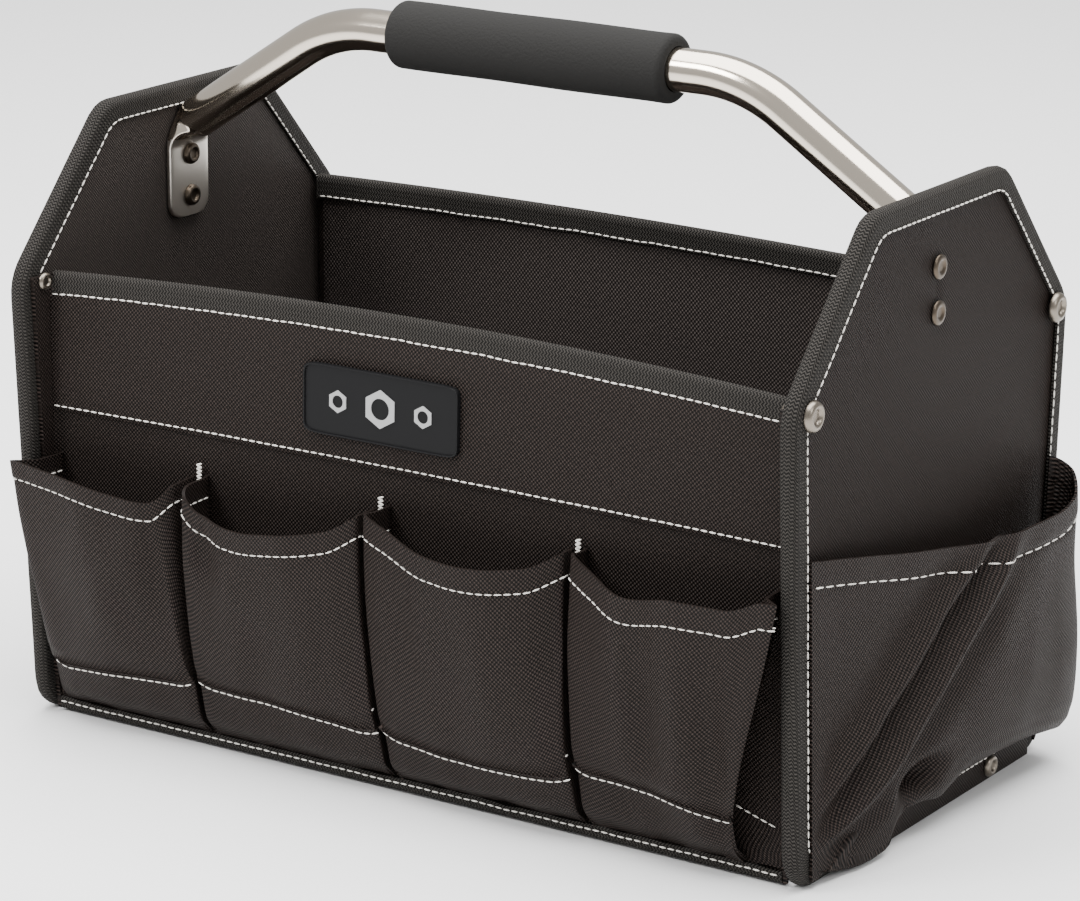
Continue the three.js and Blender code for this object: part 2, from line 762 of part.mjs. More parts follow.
// Rivet through an end: domed head with a sunk middle outside, shank, and a smaller head inside
function makeRivet({ head, shank, outerSeat, innerSeat, innerHead, y, z }) {
  const outside = outerCup.map(({ radius, rise }) => [(radius * head) / 2, outerSeat + rise * head * outerRise]);
  const inside = innerHead
    ? innerCup.map(({ radius, rise }) => [(radius * innerHead) / 2, innerSeat - rise * innerHead * innerRise])
    : [[0, innerSeat]];
  const profile = [...outside, [shank / 2, outerSeat], [shank / 2, innerSeat], ...inside];
  return turned(profile.reverse(), latheSides, y, z);
}

// Patch on the front band: a rounded plate with a raised rim, laid on the curve of the panel
function makePatch() {
  const rounded = (length, height, radius) => {
    const path = new THREE.Shape();
    const [a, b] = [length / 2, height / 2];
    path.absarc(a - radius, b - radius, radius, 0, Math.PI / 2);
    path.absarc(-a + radius, b - radius, radius, Math.PI / 2, Math.PI);
    path.absarc(-a + radius, -b + radius, radius, Math.PI, Math.PI * 1.5);
    path.absarc(a - radius, -b + radius, radius, Math.PI * 1.5, Math.PI * 2);
    path.closePath();
    return path;
  };
  const options = { bevelEnabled: false, curveSegments: 3 };
  const plate = new THREE.ExtrudeGeometry(rounded(patchLength, patchHeight, patchCornerRadius),
    { ...options, depth: patchThickness });
  const ring = rounded(patchLength, patchHeight, patchCornerRadius);
  const inside = rounded(patchLength - 2 * patchRim, patchHeight - 2 * patchRim, patchCornerRadius - patchRim);
  ring.holes.push(inside);
  const rim = new THREE.ExtrudeGeometry(ring, { ...options, depth: patchThickness + patchRimRise });
  const geometry = toGeometry(toSolid(plate).add(toSolid(rim)));
  const place = geometry.getAttribute('position');
  for (let k = 0; k < place.count; k += 1) {
    const x = patchOffset + place.getX(k);
    const z = panelHeight - patchDrop + place.getY(k);
    const y = panelFace(x, z) - 2 * seam - bandThickness - place.getZ(k);
    place.setXYZ(k, x, y, z);
  }
  return geometry;
}

function makeBase() {
  const reachY = bodyDepth / 2 - panelThickness - 2 * seam - webbingThickness;
  const geometry = new THREE.BoxGeometry(2 * webEnd, 2 * reachY, baseThickness);
  geometry.translate(0, 0, baseThickness / 2);
  return weld(geometry);
}

// Strip outside the foot of an end panel, with holes for the base studs
function makeBaseStrip() {
  const shape = new THREE.Shape([
    new THREE.Vector2(stripFront, stripBottom),
    new THREE.Vector2(stripBack, stripBottom),
    new THREE.Vector2(stripBack, stripBottom + stripHeight),
    new THREE.Vector2(stripFront, stripBottom + stripHeight),
  ]);
  for (const y of studPlaces) shape.holes.push(roundHole(studShank, y, studHeight));
  return weld(plateAcrossX(shape, bindingOuter + seam, bindingOuter + seam + stripThickness));
}

add('base_board', makeBase(), fabric);
addEnds('end_panel_right', 'end_panel_left', makeEndPanel(), fabric);
addEnds('end_binding_right', 'end_binding_left', makeEndBinding(), webbing);
addPair('front_panel', 'back_panel', makePanel(), fabric);
addPair('front_top_binding', 'back_top_binding', makeEdgeWebbing(panelTop, webbingCover, 1), webbing);
addPair('front_hem', 'back_hem', makeEdgeWebbing(() => panelBottom, hemCover, -1), webbing);
addPair('front_band', 'back_band', makeBand(), fabric);
pocketTable.forEach((pocket, k) => {
  addPair(`front_pocket_${k + 1}`, `back_pocket_${k + 1}`, makePocket(pocket), fabric);
});
addEnds('end_pocket_right', 'end_pocket_left', makePouch(), fabric);
addEnds('base_strip_right', 'base_strip_left', makeBaseStrip(), fabric);
add('handle_tube', makeHandleTube(), chrome);
add('foam_grip', makeFoamGrip(), foam);
add('label_patch', makePatch(), rubber);

handleRivetHeights.forEach((z, k) => {
  const rivet = makeRivet({
    head: handleRivetHead,
    shank: handleRivetShank,
    outerSeat: panelOuter + seam,
    innerSeat: panelInner - 2 * seam - tabThickness,
    innerHead: handleRivetInnerHead,
    y: 0,
    z,
  });
  addEnds(`handle_rivet_right_${k + 1}`, `handle_rivet_left_${k + 1}`, rivet, nickel);
});

for (const [side, here] of [[-1, 'front'], [1, 'back']]) {
  const rivet = makeRivet({
    head: cornerRivetHead,
    shank: cornerRivetShank,
    outerSeat: bindingOuter + seam,
    innerSeat: flangeInner - seam,
    innerHead: cornerRivetInnerHead,
    y: side * cornerRivetReach,
    z: cornerRivetHeight,
  });
  addEnds(`corner_rivet_${here}_right`, `corner_rivet_${here}_left`, rivet, nickel);
}

studPlaces.forEach((y, k) => {
  const stud = makeRivet({
    head: studHead,
    shank: studShank,
    outerSeat: bindingOuter + 2 * seam + stripThickness,
    innerSeat: bindingInner,
    innerHead: 0,
    y,
    z: studHeight,
  });
  addEnds(`base_stud_right_${k + 1}`, `base_stud_left_${k + 1}`, stud, nickel);
});

export default bag;
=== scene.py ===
# %% [markdown]
# # An open tool bag with a bent tube handle
# The bag is stiff at its ends and base, and soft everywhere else. It is sewn from stout woven cloth, bound
# with webbing and carried by one bent steel tube. Cloth could be draped by a simulation, but here it is sewn
# down along three edges and its folds lie in known places, so each soft piece is a grid whose points are
# moved by a formula and then given a thickness. Lengths are in metres, the front faces -Y, and Z is up.

# %% Load the frame
import math

import bpy
from mathutils import Matrix, Vector, noise


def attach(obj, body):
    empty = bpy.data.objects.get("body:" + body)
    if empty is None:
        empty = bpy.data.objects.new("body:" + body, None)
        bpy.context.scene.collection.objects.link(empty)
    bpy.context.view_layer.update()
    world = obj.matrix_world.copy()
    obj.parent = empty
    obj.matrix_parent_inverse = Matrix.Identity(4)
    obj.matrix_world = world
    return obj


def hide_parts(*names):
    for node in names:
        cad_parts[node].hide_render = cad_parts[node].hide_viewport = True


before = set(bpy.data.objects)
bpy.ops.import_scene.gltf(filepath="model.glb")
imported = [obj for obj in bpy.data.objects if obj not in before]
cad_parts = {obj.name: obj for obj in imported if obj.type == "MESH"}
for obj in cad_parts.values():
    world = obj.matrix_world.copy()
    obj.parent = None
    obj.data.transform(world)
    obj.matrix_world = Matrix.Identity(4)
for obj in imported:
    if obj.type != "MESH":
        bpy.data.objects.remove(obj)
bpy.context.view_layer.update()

print("nodes in the frame:", len(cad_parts))

# %% [markdown]
# ## Named sizes
# The same sizes as the solids have, so that each piece lies on the one it stands for. A size is written once
# and has a name, and what lies on another piece takes its place from that piece's sizes.

# %% Sizes
MM = 0.001
BAG_LENGTH = 400 * MM
BAG_DEPTH = 218 * MM
SHOULDER_FLARE = 10 * MM
SHOULDER_HEIGHT = 205 * MM
APEX_HEIGHT = 274 * MM
APEX_WIDTH = 114 * MM
BOTTOM_RADIUS = 16 * MM
SHOULDER_RADIUS = 22 * MM
APEX_RADIUS = 16 * MM
BOARD = 5 * MM
SEAM = 0.3 * MM

WEBBING = 1.2 * MM
COVER = 10 * MM
HEM_COVER = 5.5 * MM

PANEL_SETBACK = 9 * MM
PANEL_RISE = 1 * MM
PANEL_CROWN = 5 * MM
PANEL_BOW = 5 * MM
FLANGE_INSET = 6 * MM
FLANGE_THICKNESS = 2 * MM
BAND = 1.2 * MM
BAND_DROP = 63.5 * MM
# The soft back panel stands higher than the front one, but not where it is sewn to the ends
BACK_RISE_LEFT = 8 * MM
BACK_RISE_RIGHT = 4 * MM
RISE_FULL = 3 * MM
RISE_GONE = 9 * MM

POCKET_WALL = 1.3 * MM
POCKET_DEPTH = 25 * MM
POCKET_BELLY = 3 * MM
POUCH_WALL = 1.3 * MM
POUCH_DEPTH = 22 * MM
POUCH_HEIGHT = 142 * MM

PANEL_OUTER = BAG_LENGTH / 2 - WEBBING - SEAM
PANEL_INNER = PANEL_OUTER - BOARD
BINDING_INNER = PANEL_INNER - SEAM - WEBBING
WEB_END = BINDING_INNER - SEAM
COVER_END = WEB_END - FLANGE_THICKNESS - SEAM
BODY_HALF = BAG_DEPTH / 2 - PANEL_SETBACK
PANEL_HEIGHT = SHOULDER_HEIGHT + PANEL_RISE
PANEL_BOTTOM = WEBBING + SEAM
BAND_BOTTOM = PANEL_HEIGHT - BAND_DROP
print("panel inner face", PANEL_INNER, "body half depth", BODY_HALF)

# %% [markdown]
# ## Small formulas
# Soft shapes are put together from a few simple curves: a blend of two values, an S-shaped step, a bell, a
# gentle noise, and a smooth line through a short table. Each is written once, so that the pieces below read
# like a description of their shape.

# %% Blends, steps, bells and noise
def clamp(share):
    return min(max(share, 0), 1)


def lerp(a, b, share):
    return a + (b - a) * share


def smooth(low, high, value):
    """An S-shaped step from 0 at low to 1 at high."""
    share = clamp((value - low) / (high - low))
    return share * share * (3 - 2 * share)


def bell(value, centre, width):
    return math.exp(-((value - centre) / width) ** 2 / 2)


def wave(x, y, z, scale):
    """Soft unevenness between about -1 and 1, the same on each run. Scale is in waves per metre."""
    return noise.noise(Vector((x, y, z)) * scale)


def squared_circle(angle, power):
    """A point of the unit circle, pushed towards a square: the smaller the power, the squarer."""
    return [math.copysign(abs(value) ** power, value) for value in (math.cos(angle), math.sin(angle))]


def linear(table, share):
    """Straight lines through a table of (share, value) pairs."""
    for (start, low), (end, high) in zip(table, table[1:]):
        if share <= end:
            return lerp(low, high, (share - start) / (end - start))
    return table[-1][1]


def spline(table, share):
    """A smooth line through a table of (share, value) pairs, with no overshoot."""
    if share <= table[0][0]:
        return table[0][1]
    if share >= table[-1][0]:
        return table[-1][1]
    slopes = [(b[1] - a[1]) / (b[0] - a[0]) for a, b in zip(table, table[1:])]
    k = next(k for k in range(len(slopes)) if share <= table[k + 1][0])

    def tangent(knot):
        if knot in (0, len(slopes)):
            return slopes[min(knot, len(slopes) - 1)]
        before, after = slopes[knot - 1], slopes[knot]
        return 0 if before * after <= 0 else 2 * before * after / (before + after)

    (start, low), (end, high) = table[k], table[k + 1]
    run = end - start
    t = (share - start) / run
    return (low * (1 + 2 * t) * (1 - t) ** 2 + run * tangent(k) * t * (1 - t) ** 2
            + high * t * t * (3 - 2 * t) + run * tangent(k + 1) * t * t * (t - 1))


print("halfway through an S-shaped step:", smooth(0, 1, 0.5))


# %% Where the long sides and the ends lie
def end_edge(z):
    """Reach of an end's edge from the middle plane, at a height below the shoulder."""
    return BAG_DEPTH / 2 + SHOULDER_FLARE * z / SHOULDER_HEIGHT


def fade(x):
    """1 in the middle of a long side, 0 at its ends."""
    return 1 - (x / WEB_END) ** 2


def panel_face(x, z):
    """Y of the front panel's outer face, which is drawn in a little at mid length."""
    return -BODY_HALF + PANEL_BOW * fade(x) * z / PANEL_HEIGHT


def panel_top(x):
    """Height of the front panel's top edge, which stands highest at mid length."""
    return PANEL_HEIGHT - WEBBING - SEAM + PANEL_CROWN * fade(x)


print("top of the front panel, middle and end:", panel_top(0), panel_top(WEB_END))

# %% [markdown]
# ## Helpers that every piece uses
# Blender's operators act on what is selected, so a piece is picked first and nothing else. `surface` adds a
# grid and moves each of its points, `wall` gives it a thickness, and `half_turn` makes the same piece for
# the back, because the bag repeats itself half a turn about Z.

# %% Selecting and editing
def pick(piece):
    bpy.ops.object.select_all(action="DESELECT")
    piece.select_set(True)
    bpy.context.view_layer.objects.active = piece


def edit(piece, *steps):
    """Runs edit-mode steps on the whole mesh."""
    pick(piece)
    bpy.ops.object.mode_set(mode="EDIT")
    bpy.ops.mesh.select_all(action="SELECT")
    for step in steps:
        step()
    bpy.ops.object.mode_set(mode="OBJECT")


def merge_doubles():
    bpy.ops.mesh.remove_doubles(threshold=0.00002)


def face_out():
    bpy.ops.mesh.normals_make_consistent(inside=False)


def turn_half():
    bpy.ops.transform.rotate(value=math.pi, orient_axis="Z", center_override=(0, 0, 0))


def apply_modifiers(piece):
    pick(piece)
    for modifier in list(piece.modifiers):
        bpy.ops.object.modifier_apply(modifier=modifier.name)


def soften(piece, angle=40):
    """Smooth shading, but a sharp edge where two faces meet at more than an angle in degrees."""
    pick(piece)
    bpy.ops.object.shade_smooth_by_angle(angle=math.radians(angle))


# %% Grids that follow a formula
def surface(name, columns, rows, place, closed=False):
    """A grid whose point at shares u and v goes to place(u, v). A closed one is merged at its seam."""
    bpy.ops.object.select_all(action="DESELECT")
    bpy.ops.mesh.primitive_grid_add(x_subdivisions=columns, y_subdivisions=rows, size=2)
    piece = bpy.context.object
    piece.name = name
    piece.data.name = name
    spots = []
    for vertex in piece.data.vertices:
        u, v = (vertex.co.x + 1) / 2, (vertex.co.y + 1) / 2
        spots.append((round(u * columns), round(v * rows)))
        vertex.co = place(clamp(u), clamp(v))
    measure_uv(piece, spots, columns, rows)
    if closed:
        edit(piece, merge_doubles, face_out)
    return piece


def measure_uv(piece, spots, columns, rows):
    """The UV map in metres, measured along the cloth: sideways from its middle and down from its top."""
    at = {spot: vertex.co.copy() for spot, vertex in zip(spots, piece.data.vertices)}
    across, down = {}, {}
    for j in range(rows + 1):
        run = 0
        for i in range(columns + 1):
            run += (at[i, j] - at[max(i - 1, 0), j]).length
            across[i, j] = run
        middle = across[columns // 2, j]
        for i in range(columns + 1):
            across[i, j] -= middle
    for i in range(columns + 1):
        run = 0
        for j in range(rows, -1, -1):
            run += (at[i, j] - at[i, min(j + 1, rows)]).length
            down[i, j] = -run
    layer = piece.data.uv_layers.active.data
    for corner, loop in zip(layer, piece.data.loops):
        spot = spots[loop.vertex_index]
        corner.uv = (across[spot], down[spot])


def uv_from_place(piece, share=1.0):
    """Lays the weave straight over a piece: Y and Z are its UV map, wholly or for a share."""
    layer = piece.data.uv_layers.active.data
    for corner, loop in zip(layer, piece.data.loops):
        point = piece.data.vertices[loop.vertex_index].co
        corner.uv = corner.uv.lerp(Vector((point.y, point.z)), share)


def length(points):
    return sum((b - a).length for a, b in zip(points, points[1:]))


def spread(place, steps=80):
    """Length of the middle row and of the middle column of a surface: the cloth's flat size."""
    across = [place(k / steps, 0.5) for k in range(steps + 1)]
    up = [place(0.5, k / steps) for k in range(steps + 1)]
    return length(across), length(up)


# %% Walls, copies and mirror images
def wall(piece, thickness):
    """Thickens a sheet inwards, and rounds nothing: cloth edges are thin."""
    modifier = piece.modifiers.new("wall", "SOLIDIFY")
    modifier.thickness = thickness
    modifier.offset = -1
    modifier.use_even_offset = False
    apply_modifiers(piece)


def half_turn(piece, name):
    """A copy for the back. The soft back panel is then drawn up a little, as on the real bag."""
    pick(piece)
    bpy.ops.object.duplicate()
    other = bpy.context.object
    other.name = name
    other.data.name = name
    edit(other, turn_half)
    for vertex in other.data.vertices:
        rise = lerp(BACK_RISE_LEFT, BACK_RISE_RIGHT, vertex.co.x / BAG_LENGTH + 0.5)
        rise *= smooth(BODY_HALF + RISE_GONE, BODY_HALF + RISE_FULL, vertex.co.y)
        vertex.co.z += rise * smooth(BAND_BOTTOM, SHOULDER_HEIGHT, vertex.co.z)
    return other


def mirrored(place):
    """The same surface on the left end, walked the other way so that it still faces out."""
    def left_place(u, v):
        point = place(1 - u, v)
        return Vector((-point.x, point.y, point.z))
    return left_place


def both_ends(place):
    """A surface for each end: the right one as it is, and the left one mirrored."""
    return ("right", place), ("left", mirrored(place))


# %% Names, slots and materials
def declare(piece, node, material):
    """Says which CAD node a piece stands for, and gives it its material."""
    if piece.name.split(".")[0] == node:
        piece.name = f"{node}_made"
    piece.data.name = piece.name
    piece.data.materials.clear()
    piece.data.materials.append(material)
    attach(piece, "root")
    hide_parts(node)
    return piece


def line_inside(piece, material, is_inner):
    """Gives the faces that is_inner(centre) picks a second material."""
    piece.data.materials.append(material)
    for face in piece.data.polygons:
        face.material_index = int(is_inner(face.center))


def side_sheets(node, columns, rows, place, thickness, material, angle=40):
    """A sheet on the front, named front_node, and its copy half a turn round on the back."""
    piece = surface(f"front_{node}", columns, rows, place)
    flat = spread(place)
    wall(piece, thickness)
    soften(piece, angle)
    pieces = (("front", piece), ("back", half_turn(piece, f"back_{node}")))
    for side, one in pieces:
        declare(one, f"{side}_{node}", material)
    print(node, "flat size", [round(size, 3) for size in flat])
    return [one for _, one in pieces]


# On the loose pouches the weave is half laid flat, so that it doesn't swirl over the bulges
FLAT_WEAVE = 0.5


def end_sheets(node, columns, rows, place, thickness, material, angle=60,
               flat=None, closed=False, flat_weave=False):
    """A sheet on the right end, named node_right, and its mirror image on the left end."""
    flat = flat or spread(place)
    for side, spot in both_ends(place):
        piece = surface(f"{node}_{side}", columns, rows, spot)
        if flat_weave:
            uv_from_place(piece, FLAT_WEAVE)
        if closed:
            edit(piece, merge_doubles)
        wall(piece, thickness)
        soften(piece, angle)
        declare(piece, f"{node}_{side}", material)
    print(node, "flat size", [round(size, 3) for size in flat])


# %% Turned pieces
def lathe(name, profile, y, z, sides=32, side=1):
    """A solid turned on an axis along X, from (radius, x) pairs. With side -1 it is on the left end."""
    last = len(profile) - 1

    def place(u, v):
        radius, x = profile[round(v * last)]
        angle = math.tau * u
        return Vector((side * x, y + radius * math.cos(angle), z + radius * math.sin(angle)))

    return surface(name, sides, last, place, closed=True)

# %% [markdown]
# ## Shared shader effects
# Two weaves cover nearly the whole bag: the plain weave of the cloth and the herringbone of the webbing.
# A photograph of cloth could be used, but a formula has no seams and keeps its scale on every piece. Each
# weave is a node group with named inputs, so that a material only says how large and how strong it is.

# %% Node helpers
def group(name, inputs, outputs):
    """An empty node group with its sockets, and its input and output nodes."""
    tree = bpy.data.node_groups.new(name, "ShaderNodeTree")
    for label, kind, value in inputs:
        socket = tree.interface.new_socket(label, in_out="INPUT", socket_type=kind)
        if value is not None:
            socket.default_value = value
    for label, kind in outputs:
        tree.interface.new_socket(label, in_out="OUTPUT", socket_type=kind)
    start = tree.nodes.new("NodeGroupInput")
    end = tree.nodes.new("NodeGroupOutput")
    return tree, start, end


def wire(tree, target, value):
    """Links a socket to an input, or sets the input to a number, vector or colour."""
    if hasattr(value, "is_output"):
        tree.links.new(value, target)
    else:
        target.default_value = value


def calc(tree, operation, *values):
    """A math node, wired to sockets or set to numbers."""
    node = tree.nodes.new("ShaderNodeMath")
    node.operation = operation
    for k, value in enumerate(values):
        wire(tree, node.inputs[k], value)
    return node.outputs[0]


# Sockets of the Mix node when it mixes colours
MIX_FIRST, MIX_SECOND, MIX_RESULT = 6, 7, 2


def blend_colour(tree, share, first, second):
    node = tree.nodes.new("ShaderNodeMix")
    node.data_type = "RGBA"
    wire(tree, node.inputs["Factor"], share)
    wire(tree, node.inputs[MIX_FIRST], (*first, 1))
    wire(tree, node.inputs[MIX_SECOND], (*second, 1))
    return node.outputs[MIX_RESULT]


def use(tree, shared, **values):
    node = tree.nodes.new("ShaderNodeGroup")
    node.node_tree = shared
    for label, value in values.items():
        wire(tree, node.inputs[label], value)
    return node


# %% Weave and herringbone, laid by the piece's own UV map
FLOAT, VECTOR = "NodeSocketFloat", "NodeSocketVector"
# How round the lit threads are, and how uneven: noise per metre, its strength and its floor
THREAD_ROUND = 2.2
CLOUD_SCALE, CLOUD_STRENGTH, CLOUD_FLOOR = 700, 1.6, 0.2


def make_weave():
    tree, start, end = group(
        "weave",
        [("Place", VECTOR, None), ("Pitch", FLOAT, 0.0012)],
        [("Height", FLOAT), ("Thread", FLOAT)],
    )
    split = tree.nodes.new("ShaderNodeSeparateXYZ")
    tree.links.new(start.outputs["Place"], split.inputs[0])
    turns = calc(tree, "DIVIDE", math.tau, start.outputs["Pitch"])
    across = calc(tree, "MULTIPLY", split.outputs["X"], turns)
    along = calc(tree, "MULTIPLY", split.outputs["Y"], turns)
    crossing = calc(tree, "MULTIPLY", calc(tree, "SINE", across), calc(tree, "SINE", along))
    cloudy = tree.nodes.new("ShaderNodeTexNoise")
    cloudy.inputs["Scale"].default_value = CLOUD_SCALE
    cloudy.inputs["Detail"].default_value = 2
    tree.links.new(start.outputs["Place"], cloudy.inputs["Vector"])
    height = calc(tree, "MULTIPLY_ADD", crossing, 0.5, 0.5)
    tree.links.new(height, end.inputs["Height"])
    # Painted sheen and shade: this mask is light on the thread tops and dark in the gaps between them,
    # unevenly
    lit = calc(tree, "POWER", height, THREAD_ROUND)
    uneven = calc(tree, "MULTIPLY_ADD", cloudy.outputs[0], CLOUD_STRENGTH, CLOUD_FLOOR)
    tree.links.new(calc(tree, "MULTIPLY", lit, uneven), end.inputs["Thread"])
    return tree


def make_herringbone():
    tree, start, end = group(
        "herringbone",
        [("Place", VECTOR, None), ("Pitch", FLOAT, 0.0016), ("Rib", FLOAT, 0.0011)],
        [("Height", FLOAT)],
    )
    split = tree.nodes.new("ShaderNodeSeparateXYZ")
    tree.links.new(start.outputs["Place"], split.inputs[0])
    zigzag = calc(tree, "PINGPONG", split.outputs["Y"], start.outputs["Rib"])
    slanted = calc(tree, "ADD", split.outputs["X"], zigzag)
    turns = calc(tree, "DIVIDE", math.tau, start.outputs["Pitch"])
    ridge = calc(tree, "SINE", calc(tree, "MULTIPLY", slanted, turns))
    tree.links.new(calc(tree, "MULTIPLY_ADD", ridge, 0.5, 0.5), end.inputs["Height"])
    return tree


weave = make_weave()
herringbone = make_herringbone()


# %% [markdown]
# ## Materials
# The cloth is nearly black between its threads, a painted shade, and a warm dark brown on them, with a
# painted sheen on the thread tops. The gloss of cloth, webbing and foam is set low, because their fibres
# scatter the light. Metals differ by colour and roughness alone: the tube is polished, its pressed tabs are
# brushed and painted lighter as a painted highlight, and the rivets are duller.

# %% Principled materials
GLOSS = "Specular IOR Level"


def principled(made):
    return made.node_tree.nodes["Principled BSDF"]


def material(name, colour, roughness, metallic=0.0, gloss=0.5):
    """A Principled material. Its constants are set on the shader's own sockets."""
    made = bpy.data.materials.new(name)
    made.use_nodes = True
    inputs = principled(made).inputs
    inputs["Base Color"].default_value = (*colour, 1)
    inputs["Roughness"].default_value = roughness
    inputs["Metallic"].default_value = metallic
    inputs[GLOSS].default_value = gloss
    return made


def raise_bump(made, height, strength, distance):
    tree = made.node_tree
    bump = tree.nodes.new("ShaderNodeBump")
    bump.inputs["Strength"].default_value = strength
    bump.inputs["Distance"].default_value = distance
    wire(tree, bump.inputs["Height"], height)
    tree.links.new(bump.outputs[0], principled(made).inputs["Normal"])


def threads(made, shared, mask, dark, light, bump, distance, **values):
    """Colours a material from dark to light by one of a weave's masks, and raises its threads."""
    tree = made.node_tree
    place = tree.nodes.new("ShaderNodeUVMap").outputs[0]
    weave_node = use(tree, shared, Place=place, **values)
    colour = blend_colour(tree, weave_node.outputs[mask], dark, light)
    tree.links.new(colour, principled(made).inputs["Base Color"])
    raise_bump(made, weave_node.outputs["Height"], bump, distance)


# %% Cloth and webbing
# Cloth colour runs from a painted shade in the gaps to the thread colour with a painted sheen on the thread
# tops
def woven(name, dark, light, pitch, roughness, bump, gloss=0.12):
    made = material(name, dark, roughness, gloss=gloss)
    threads(made, weave, "Thread", dark, light, bump, 0.5 * MM, Pitch=pitch)
    return made


# Painted shade: the near-black colour in the gaps between the threads
GAP_SHADE = (0.0008, 0.0006, 0.0005)
fabric = woven("fabric", GAP_SHADE, (0.0495, 0.0365, 0.0315), 1.9 * MM, 0.5, 0.9, 0.08)
smooth_fabric = woven("smooth_fabric", GAP_SHADE, (0.0375, 0.0265, 0.0225), 1.8 * MM, 0.55, 0.75, 0.06)
inner_fabric = woven("inner_fabric", (0.008, 0.0065, 0.006), (0.09, 0.074, 0.066), 1.6 * MM, 0.6, 0.6)
lining = woven("lining", (0.004, 0.0032, 0.003), (0.11, 0.09, 0.082), 1.9 * MM, 0.6, 0.8)

webbing = material("webbing", (0.03, 0.03, 0.029), 0.75, gloss=0.12)
threads(webbing, herringbone, "Height", (0.0018, 0.0017, 0.0015), (0.045, 0.0405, 0.036), 0.9, 0.6 * MM)
thread = material("thread", (0.72, 0.69, 0.64), 0.8)
print("cloth materials made:", len(bpy.data.materials))

# %% Foam, metals, rubber and print
FOAM_GRAIN = 900

foam = material("foam", (0.016, 0.0155, 0.0148), 0.95, gloss=0.2)
grain = foam.node_tree.nodes.new("ShaderNodeTexNoise")
grain.inputs["Scale"].default_value = FOAM_GRAIN
object_place = foam.node_tree.nodes.new("ShaderNodeTexCoord").outputs["Object"]
foam.node_tree.links.new(object_place, grain.inputs["Vector"])
raise_bump(foam, grain.outputs[0], 0.6, 0.6 * MM)

chrome = material("chrome", (0.6, 0.535, 0.45), 0.14, 1.0)
nickel = material("nickel", (0.2, 0.175, 0.145), 0.32, 1.0)
dull_nickel = material("dull_nickel", (0.085, 0.068, 0.052), 0.36, 1.0)
# Pressed tabs: brushed, so rougher, and coloured lighter than the chrome as a painted highlight of the light
# from above
pressed_chrome_highlight = material("pressed", (0.78, 0.73, 0.66), 0.34, 1.0)
rubber = material("rubber", (0.0045, 0.0045, 0.005), 0.5, gloss=0.12)
print_ink = material("print", (0.33, 0.33, 0.33), 0.6)
print("materials made:", len(bpy.data.materials))

# %% [markdown]
# ## Stitches
# The light thread is what the eye sees first on this bag. It could be a texture, but a sewn row sinks into
# the cloth and throws small shadows, so each stitch is real: a capsule of a few dozen faces, modelled once.
# A row of them follows a path over a surface, whose own formula gives the place and the way out.

# %% Stitch sizes and shape
STITCH_PITCH = 4.1 * MM
STITCH_LENGTH = 3.6 * MM
STITCH_WIDTH = 0.84 * MM
LONG_PITCH = 7.4 * MM
LONG_STITCH = 6.2 * MM
STITCH_LIFT = 0.25 * MM
TACK_WIDTH = 3.3 * MM
TACK_PITCH = 0.8 * MM
TACK_THREAD = 1.1 * MM
TACK_LIFT = 0.5 * MM
TACK_SLANT = 0.35


def capsule():
    """The points and faces of one stitch, one unit long and thick."""
    bpy.ops.object.select_all(action="DESELECT")
    bpy.ops.mesh.primitive_uv_sphere_add(segments=6, ring_count=4, radius=0.5)
    shape = bpy.context.object
    points = [vertex.co.copy() for vertex in shape.data.vertices]
    faces = [tuple(face.vertices) for face in shape.data.polygons]
    bpy.ops.object.delete()
    return points, faces


CAPSULE_POINTS, CAPSULE_FACES = capsule()
print("faces of one stitch:", len(CAPSULE_FACES))


# %% Rows and tacks
def normal(place, u, v, gap=0.004):
    """Direction that faces out of a surface."""
    low_u, high_u = max(u - gap, 0), min(u + gap, 1)
    low_v, high_v = max(v - gap, 0), min(v + gap, 1)
    across = place(high_u, v) - place(low_u, v)
    up = place(u, high_v) - place(u, low_v)
    return across.cross(up).normalized()


def level(v, start=0.0, end=1.0):
    """A path along u, at one v."""
    return lambda t: (lerp(start, end, t), v)


class Seams:
    """Collects stitches for one node, and makes one mesh of them at the end."""

    def __init__(self):
        self.points = []
        self.faces = []

    def put(self, centre, along, out, size, width=STITCH_WIDTH):
        """One stitch at a place, along a direction, with its own size and width."""
        along = along.normalized()
        side = out.cross(along).normalized()
        out = along.cross(side)
        first = len(self.points)
        for point in CAPSULE_POINTS:
            spot = centre + along * point.z * size
            spot += side * point.x * width
            spot += out * point.y * width
            self.points.append(spot)
        self.faces += [tuple(first + k for k in face) for face in CAPSULE_FACES]

    def row(self, place, path, lift=STITCH_LIFT, pitch=STITCH_PITCH, size=STITCH_LENGTH, steps=240):
        """Stitches along path(t) -> (u, v) on the surface place(u, v)."""
        walk = [path(k / steps) for k in range(steps + 1)]
        places = [place(*spot) for spot in walk]
        travelled = 0
        due = pitch / 2
        for k in range(steps):
            step = places[k + 1] - places[k]
            while due <= travelled + step.length and step.length > 0:
                share = (due - travelled) / step.length
                centre = places[k] + step * share
                u, v = (lerp(a, b, share) for a, b in zip(walk[k], walk[k + 1]))
                self.put(centre + normal(place, u, v) * lift, step, normal(place, u, v), size)
                due += pitch
            travelled += step.length

    def tack(self, centre, up, out, height):
        """A bar tack: close zigzag threads one above the other."""
        side = out.cross(up).normalized()
        count = int(height / TACK_PITCH)
        for k in range(count):
            lean = side * (1 if k % 2 else -1) + up * TACK_SLANT
            spot = centre + up * lerp(-height / 2, height / 2, k / (count - 1)) + out * TACK_LIFT
            self.put(spot, lean, out, TACK_WIDTH, TACK_THREAD)

    def make(self, name, node):
        mesh = bpy.data.meshes.new(name)
        mesh.from_pydata(self.points, [], self.faces)
        piece = bpy.data.objects.new(name, mesh)
        bpy.context.scene.collection.objects.link(piece)
        soften(piece, 180)
        return declare(piece, node, thread)

